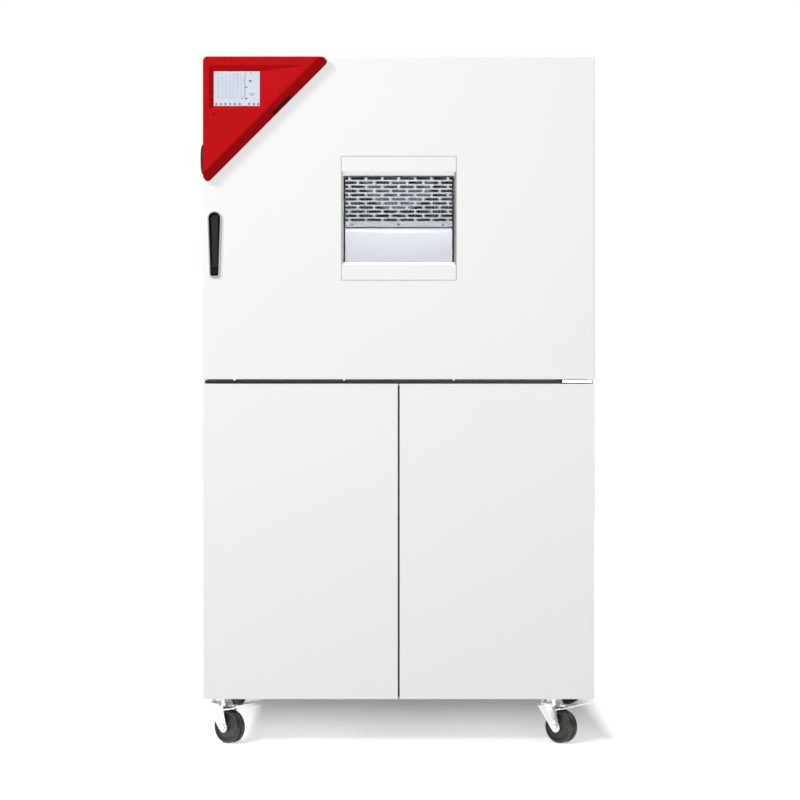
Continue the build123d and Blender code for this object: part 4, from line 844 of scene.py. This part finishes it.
class DressController(bpy.types.Operator):
    """Finish the red controller housing and its screen"""

    bl_idname = "test_chamber.controller"
    bl_label = "Controller"

    # Left, right, low and high edge of the display in millimetres
    SCREEN = (-417.2, -313.4, 1446.2, 1524.2)
    # Upper corner of the sloping flank in millimetres, and its axes along, up and out
    FLANK_CORNER = (-148.5, -440.0, 1557.5)
    FLANK_AXES = (
        (-0.705901, 0.0, -0.70831),
        (-0.572836, -0.588172, 0.570888),
        (0.416608, -0.808736, -0.415191),
    )

    def execute(self, context):
        soften("controller_housing", 1.2, 3)
        paint("controller_housing", FINISH["red"])
        self.build_pocket()
        along, up, out = (Vector(axis) for axis in self.FLANK_AXES)
        centre = Vector(self.FLANK_CORNER) + along * 158.5 + up * 7.2 - out * 0.25
        turn = Matrix((along, up, out)).transposed().to_4x4()
        bm = bmesh.new()
        prism(bm, stadium(60.0, 6.4), Matrix.Translation(centre * MM) @ turn @ Matrix.Scale(MM, 4), 0.45)
        mesh_object("flank_slot", bm, FINISH["slot black"], "door")
        bm = bmesh.new()
        prism(bm, disc(2.2), facing_front(-417.5, -455.9, 1427.0), 0.25)
        mesh_object("reset_dot", bm, FINISH["slot black"], "door")
        self.draw_screen()
        return {"FINISHED"}

    def build_pocket(self):
        """Sloping walls of the pocket and the display panel in it."""
        front, back = -455.9, -450.02
        # X and Z in millimetres of the outline at the front, and of the foot of the walls
        rim = [(-427.4, 1537.4), (-427.4, 1437.6), (-307.2, 1437.6), (-207.7, 1537.4), (-220.0, 1537.4)]
        foot = [(-424.2, 1533.8), (-424.2, 1441.2), (-308.6, 1441.2), (-216.0, 1533.8)]
        left, right, low, high = self.SCREEN
        x0, x1, z0, z1 = left - 0.4, right + 0.4, low - 0.4, high + 0.4
        bed = [(x0, z1), (x0, z0), (x1, z0), (x1, z1)]
        bm = bmesh.new()
        a, b, c, d, t = [bm.verts.new(in_mm(x, front, z)) for x, z in rim]
        bed_a, bed_b, bed_c, bed_d = [bm.verts.new(in_mm(x, back - 0.4, z)) for x, z in bed]
        foot_a, foot_b, foot_c, foot_d = [bm.verts.new(in_mm(x, back, z)) for x, z in foot]
        walls = [
            (a, b, bed_b, bed_a), (b, c, bed_c, bed_b), (a, bed_a, bed_d, t), (bed_d, bed_c, c),
            (bed_d, c, d), (bed_d, d, t), (bed_a, bed_b, bed_c, bed_d), (a, foot_a, foot_b, b),
            (b, foot_b, foot_c, c), (c, foot_c, foot_d, d), (a, t, d, foot_d, foot_a),
            (foot_a, foot_d, foot_c, foot_b),
        ]
        for wall in walls:
            bm.faces.new(wall)
        mesh_object("pocket_slopes", bm, FINISH["red"], "door")
        bm = bmesh.new()
        cuboid(bm, in_mm(left, right), in_mm(back - 1.9, back - 0.3), in_mm(low, high))
        bmesh.ops.bevel(bm, geom=bm.edges[:], offset=0.35 * MM, segments=2, affect="EDGES")
        panel = mesh_object("display_panel", bm, FINISH["screen"], "door")
        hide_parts("display")

    def draw_screen(self):
        """Grid, marks and icons of the display, as thin raised lines."""
        left, top, front = self.SCREEN[0], self.SCREEN[3], -451.9
        chart_width, chart_height, chart_top = 69.0, 56.0, 5.0
        chart_z = top - chart_top - chart_height / 2
        bm = bmesh.new()
        for index in range(9):
            x = left + 2.6 + index * (chart_width - 2.0) / 8
            prism(bm, bar(0.7, chart_height), facing_front(x, front, chart_z), 0.08)
        for index in range(12):
            z = top - chart_top - index * chart_height / 11
            prism(bm, bar(chart_width - 2.0, 0.5), facing_front(left + 1.6 + chart_width / 2, front, z), 0.1)
        mesh_object("screen_grid", bm, FINISH["pale ink"], "door")
        bm = bmesh.new()
        prism(bm, bar(0.9, chart_height), facing_front(left + chart_width + 1.6, front, chart_z), 0.14)
        # From the left, down from the top, width and height of each mark in millimetres
        marks = [
            (53.0, 8.0, 2.4, 2.0), (73.0, 3.4, 1.4, 2.4), (84.0, 3.4, 3.6, 1.6), (93.0, 3.4, 1.4, 1.4),
            (82.5, 21.5, 5.4, 4.6), (73.5, 35.6, 4.4, 2.6), (86.5, 50.4, 13.0, 1.3), (86.5, 53.6, 7.0, 1.1),
        ]
        for x, down, width, height in marks:
            prism(bm, bar(width, height), facing_front(left + x, front, top - down), 0.16)
        for x, down, radius in ((64.0, 60.5, 1.5), (73.5, 61.5, 2.3)):
            prism(bm, disc(radius, 12), facing_front(left + x, front, top - down), 0.16)
        for index, x in enumerate((5.4, 15.8, 26.2, 36.8, 47.2, 58.4, 79.5, 90.5, 100.4)):
            shape = disc(2.5, 6 + 3 * (index % 3)) if index % 2 else bar(4.4, 4.4)
            prism(bm, shape, facing_front(left + x, front, top - 73.6), 0.16)
        mesh_object("screen_marks", bm, FINISH["ink"], "door")


class DressServiceDoors(bpy.types.Operator):
    """Finish the two lower doors"""

    bl_idname = "test_chamber.service_doors"
    bl_label = "Service Doors"

    def execute(self, context):
        dress({"left_service_door": ("white", 1.2), "right_service_door": ("white", 1.2)})
        return {"FINISHED"}


class DressChamber(bpy.types.Operator):
    """Finish the test space and build the slotted baffle"""

    bl_idname = "test_chamber.interior"
    bl_label = "Test Space"

    def execute(self, context):
        looks = {
            "chamber_liner": ("tank steel", 0.3),
            "chamber_foam": ("foam", 0.5),
            "lower_air_panel": ("tank steel", 0.3),
            "temperature_probe": ("plastic black", 0.5),
            "circulation_fan": ("fan grey", 0.3),
            "fan_motor": ("grey", 0.8),
            "heater": ("steel x", 0.2),
            "evaporator": ("aluminium", 0.3),
            "shelf_mounts": ("steel z", 0.3),
            "wire_shelf": ("steel x", 0.2),
            "chamber_lamp": ("lamp", 0.3),
        }
        dress(looks)
        low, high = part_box("air_baffle")
        values = {
            "Width": high[0] - low[0],
            "Low": low[2],
            "High": high[2],
            "Front": low[1],
            "Thickness": high[1] - low[1],
            "First Row": 1218.5 * MM,
            "Pitch X": 40 * MM,
            "Pitch Z": 10.1 * MM,
            "Slot Length": 35 * MM,
            "Slot Height": 6.6 * MM,
            "Material": FINISH["slot steel"],
        }
        sheet = grow("slotted_baffle", TREES["slots"], values, "cabinet")
        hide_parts("air_baffle")
        places = [(0.0071 * step, 0.124, 1.327) for step in range(-41, 42) if abs(step) > 3]
        # The fins carry the near black colour of painted shade.
        values = {"Size": in_mm(6.2, 22.0, 206.0), "Material": FINISH["dark fins"]}
        grow("air_coil_fins", TREES["fins"], values, "cabinet", places)
        places = [(x, 27.9, 1207.0) for x in (-114.0, -1.0, 108.0, -228.0, 222.0)]
        screws("baffle_screws", places, "front", 3.2, "cabinet", height=1.6)
        return {"FINISHED"}


class DressMachine(bpy.types.Operator):
    """Finish the cooling plant and the electrical box"""

    bl_idname = "test_chamber.machine"
    bl_label = "Machine Space"

    def execute(self, context):
        looks = {
            "condenser": ("aluminium", 0.3),
            "condenser_shroud": ("zinc", 0.4),
            "condenser_fan": ("plastic black", 0.4),
            "pressure_vessels": ("black", 1.0),
            "refrigerant_pipes": ("copper", 0.2),
            "condensate_tray": ("steel x", 0.3),
            "electrical_box": ("grey", 1.0),
        }
        dress(looks)
        return {"FINISHED"}


class DressConnections(bpy.types.Operator):
    """Finish the port plug, the service plate, the switch and the rear fittings"""

    bl_idname = "test_chamber.connections"
    bl_label = "Connections"

    def execute(self, context):
        looks = {
            "service_panel": ("plastic black", 0.5),
            "main_switch_knob": ("red", 0.8),
            "rear_fittings": ("plastic black", 0.6),
        }
        dress(looks)
        # Radius and distance from the middle of the chamber, in millimetres
        profile = [
            (0.0, 362.5), (22.0, 362.5), (24.0, 364.5), (24.1, 442.8), (33.5, 442.8), (35.0, 443.6),
            (35.5, 445.2), (35.5, 461.0), (34.9, 463.2), (33.2, 464.6), (28.0, 465.7), (16.0, 466.4),
            (0.0, 466.5),
        ]
        centre = middle("port_plug")
        place = Matrix.Translation((0.0, centre.y, centre.z)) @ Matrix.Rotation(-math.pi / 2, 4, "Y")
        bm = bmesh.new()
        lathe(bm, [in_mm(*point) for point in profile], place, 64)
        plug = mesh_object("port_stopper", bm, FINISH["plug black"], "port_plug", 30)
        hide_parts("port_plug")
        return {"FINISHED"}


class DressCastors(bpy.types.Operator):
    """Finish the castors with their forks, wheels and brake pedals"""

    bl_idname = "test_chamber.castors"
    bl_label = "Castors"

    # Radius and height from the middle plane, from the hub out to the groove, in millimetres
    HALF_WHEEL = (
        (0.0, 18.2), (7.2, 18.2), (9.4, 17.4), (10.0, 15.8), (10.6, 12.6), (12.5, 11.6), (26.0, 10.8),
        (28.6, 11.6), (30.2, 14.2), (31.0, 15.7), (32.2, 16.0), (33.4, 15.6), (34.0, 14.9), (34.4, 14.2),
        (35.3, 13.9), (36.4, 12.9), (37.1, 11.2), (37.45, 9.0), (37.45, 6.4), (37.1, 4.2), (36.4, 2.9),
        (35.2, 2.2), (33.9, 1.9), (33.4, 1.2),
    )

    def execute(self, context):
        looks = {"castor_plates": ("zinc", 0.8)}
        looks.update({f"castor_fork_{name}": ("zinc", 0.6) for name in CASTORS})
        looks.update({f"brake_pedal_{name}": ("zinc", 0.5) for name in CASTORS[:2]})
        dress(looks)
        for name in CASTORS:
            self.build_wheel(name)
        return {"FINISHED"}

    def build_wheel(self, name):
        """A turned wheel with a dished side, a rim lip and two rounded ribs round a groove."""
        node = f"castor_wheel_{name}"
        axis = Vector(joint(f"castor_wheel_spin_{name}")["axis"])
        profile = self.HALF_WHEEL + tuple((radius, -height) for radius, height in reversed(self.HALF_WHEEL))
        turn = axis.to_track_quat("Z", "Y").to_matrix().to_4x4()
        place = Matrix.Translation(middle(node)) @ turn
        bm = bmesh.new()
        lathe(bm, [in_mm(*point) for point in profile], place, 72)
        wheel = mesh_object(f"ribbed_wheel_{name}", bm, FINISH["tread"], f"wheel_{name}", 30)
        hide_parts(node)


def area_lamp(name, power, place, target, size, color=(1.0, 1.0, 1.0)):
    """A soft rectangular lamp that faces a target."""
    data = bpy.data.lights.new(name, "AREA")
    data.shape = "RECTANGLE"
    data.size, data.size_y = size
    data.energy = power
    data.color = color
    lamp = bpy.data.objects.new(name, data)
    lamp.location = place
    lamp.rotation_euler = (Vector(target) - Vector(place)).to_track_quat("-Z", "Y").to_euler()
    bpy.context.scene.collection.objects.link(lamp)
    return lamp


# Base colour of the floor for bounced light and for the camera, and the shaded field in metres
FLOOR_BOUNCE = (0.14, 0.14, 0.14)
FLOOR_SEEN = (0.9, 0.9, 0.9)
SHADE_HALF_WIDTH = 0.42
SHADE_BACK = 0.5

# Name, setting, place, target and size of each studio lamp in metres
LAMPS = (
    ("key_lamp", "key", (-4.0, -7.0, 5.2), (0.0, -0.3, 0.6), (1.8, 1.8)),
    ("front_lamp", "front", (1.2, -6.5, 1.0), (0.0, 0.0, 0.5), (3.0, 2.0)),
    ("raking_lamp", "raking", (-4.2, -2.2, 4.6), (-0.2, -0.45, 1.1), (0.7, 0.7)),
)
CHAMBER_LIGHT_POWER = 1.5
SENSOR_WIDTH = 36.0
LENS = 117.45
LENS_SHIFT = (0.0016, -0.025)


def floor_material():
    """A pale floor that shows white to the camera away from the object and keeps the shadow, lightened
    towards the front by painted light.
    """
    material = new_material("studio floor", Roughness=0.9)
    tree = material.node_tree
    shader = tree.nodes["Principled BSDF"]
    shader.inputs["Emission Color"].default_value = (1.0, 1.0, 1.0, 1.0)
    shader.inputs["Specular IOR Level"].default_value = 0.1
    path = tree.nodes.new("ShaderNodeLightPath")
    seen = math_node(tree, "MAXIMUM", path.outputs["Is Camera Ray"], path.outputs["Is Glossy Ray"])
    seen = math_node(tree, "MAXIMUM", seen, path.outputs["Is Transmission Ray"])
    shade = add_node(tree, "ShaderNodeMix", data_type="RGBA")
    link(tree, seen, shade.inputs["Factor"])
    shade.inputs[6].default_value = (*FLOOR_BOUNCE, 1.0)
    shade.inputs[7].default_value = (*FLOOR_SEEN, 1.0)
    link(tree, shade.outputs[2], shader.inputs["Base Color"])
    place = tree.nodes.new("ShaderNodeTexCoord")
    split = tree.nodes.new("ShaderNodeSeparateXYZ")
    link(tree, place.outputs["Object"], split.inputs[0])
    aside = math_node(tree, "SUBTRACT", math_node(tree, "ABSOLUTE", split.outputs["X"]), SHADE_HALF_WIDTH)
    outside = math_node(tree, "MAXIMUM", aside, math_node(tree, "SUBTRACT", split.outputs["Y"], SHADE_BACK))
    far = map_range(tree, outside, (0.0, 0.13), kind="SMOOTHSTEP")
    # Painted light: the shadow under the chamber is lightened from the back towards the front.
    shadow_fade_painted_light = map_range(tree, split.outputs["Y"], (0.45, -0.55), (0.1, 0.6))
    pale = math_node(tree, "MAXIMUM", far, shadow_fade_painted_light)
    link(tree, math_node(tree, "MULTIPLY", seen, pale), shader.inputs["Emission Strength"])
    return material


class BuildStage(bpy.types.Operator):
    """Make the floor, the soft lamps, the white surroundings and the camera"""

    bl_idname = "test_chamber.stage"
    bl_label = "Stage"

    def execute(self, context):
        studio = settings()[1]
        bm = bmesh.new()
        lathe(bm, [(9.0, -0.0005), (0.0, -0.0005)], Matrix.Identity(4), 96)
        bmesh.ops.recalc_face_normals(bm, faces=bm.faces)
        for face in bm.faces:
            if face.normal.z < 0:
                face.normal_flip()
        mesh = bpy.data.meshes.new("studio_floor")
        bm.to_mesh(mesh)
        bm.free()
        mesh.materials.append(floor_material())
        floor = bpy.data.objects.new("studio_floor", mesh)
        context.scene.collection.objects.link(floor)
        world = bpy.data.worlds.new("studio")
        world.use_nodes = True
        context.scene.world = world
        tree = world.node_tree
        background = tree.nodes["Background"]
        background.inputs["Color"].default_value = (1.0, 1.0, 1.0, 1.0)
        path = tree.nodes.new("ShaderNodeLightPath")
        seen = math_node(tree, "MAXIMUM", path.outputs["Is Camera Ray"], path.outputs["Is Transmission Ray"])
        mix = add_node(tree, "ShaderNodeMix")
        mix.inputs["A"].default_value = studio.sky
        mix.inputs["B"].default_value = 1.0
        link(tree, seen, mix.inputs["Factor"])
        link(tree, mix.outputs["Result"], background.inputs["Strength"])
        for name, setting, place, target, size in LAMPS:
            area_lamp(name, getattr(studio, setting), place, target, size)
        chamber = middle("wire_shelf")
        glow_place = (chamber.x, span("chamber_lamp", "y")[0], span("chamber_lamp", "z")[0] - 0.02)
        white = (0.97, 0.985, 1.0)
        area_lamp("chamber_light", CHAMBER_LIGHT_POWER, glow_place, (0.0, 0.2, 1.2), (0.34, 0.02), white)
        data = bpy.data.cameras.new("camera")
        data.sensor_width = SENSOR_WIDTH
        data.lens = LENS
        data.shift_x, data.shift_y = LENS_SHIFT
        camera = bpy.data.objects.new("camera", data)
        camera.location = (0.0, -studio.camera_distance, studio.camera_height)
        camera.rotation_euler = (math.pi / 2, 0.0, 0.0)
        context.scene.collection.objects.link(camera)
        context.scene.camera = camera
        context.scene.view_settings.view_transform = "Standard"
        return {"FINISHED"}


STEPS = (
    BuildFinishes,
    DressCabinet,
    DressDoor,
    DressHandle,
    DressController,
    DressServiceDoors,
    DressChamber,
    DressMachine,
    DressConnections,
    DressCastors,
    BuildStage,
)


class ChamberPanel(bpy.types.Panel):
    """The steps that dress the chamber"""

    bl_idname = "VIEW3D_PT_test_chamber"
    bl_label = "Test Chamber"
    bl_space_type = "VIEW_3D"
    bl_region_type = "UI"
    bl_category = "Test Chamber"

    def draw(self, context):
        column = self.layout.column()
        for step in STEPS:
            column.operator(step.bl_idname)
        column.prop(context.scene.chamber_colors, "cabinet_white")
        column.prop(context.scene.chamber_colors, "controller_red")
        column.prop(context.scene.chamber_studio, "sky")


CLASSES = (ChamberColors, StudioSettings, *STEPS, ChamberPanel)


def register():
    """Register every class and the settings."""
    for entry in CLASSES:
        bpy.utils.register_class(entry)
    bpy.types.Scene.chamber_colors = bpy.props.PointerProperty(type=ChamberColors)
    bpy.types.Scene.chamber_studio = bpy.props.PointerProperty(type=StudioSettings)


def unregister():
    """Remove the settings and every class."""
    del bpy.types.Scene.chamber_studio
    del bpy.types.Scene.chamber_colors
    for entry in reversed(CLASSES):
        bpy.utils.unregister_class(entry)


def run_step(idname):
    """Call one operator by its name."""
    area, name = idname.split(".")
    getattr(getattr(bpy.ops, area), name)()


def main():
    """Dress the whole chamber."""
    register()
    for step in STEPS:
        run_step(step.bl_idname)


if __name__ == "__main__":
    main()
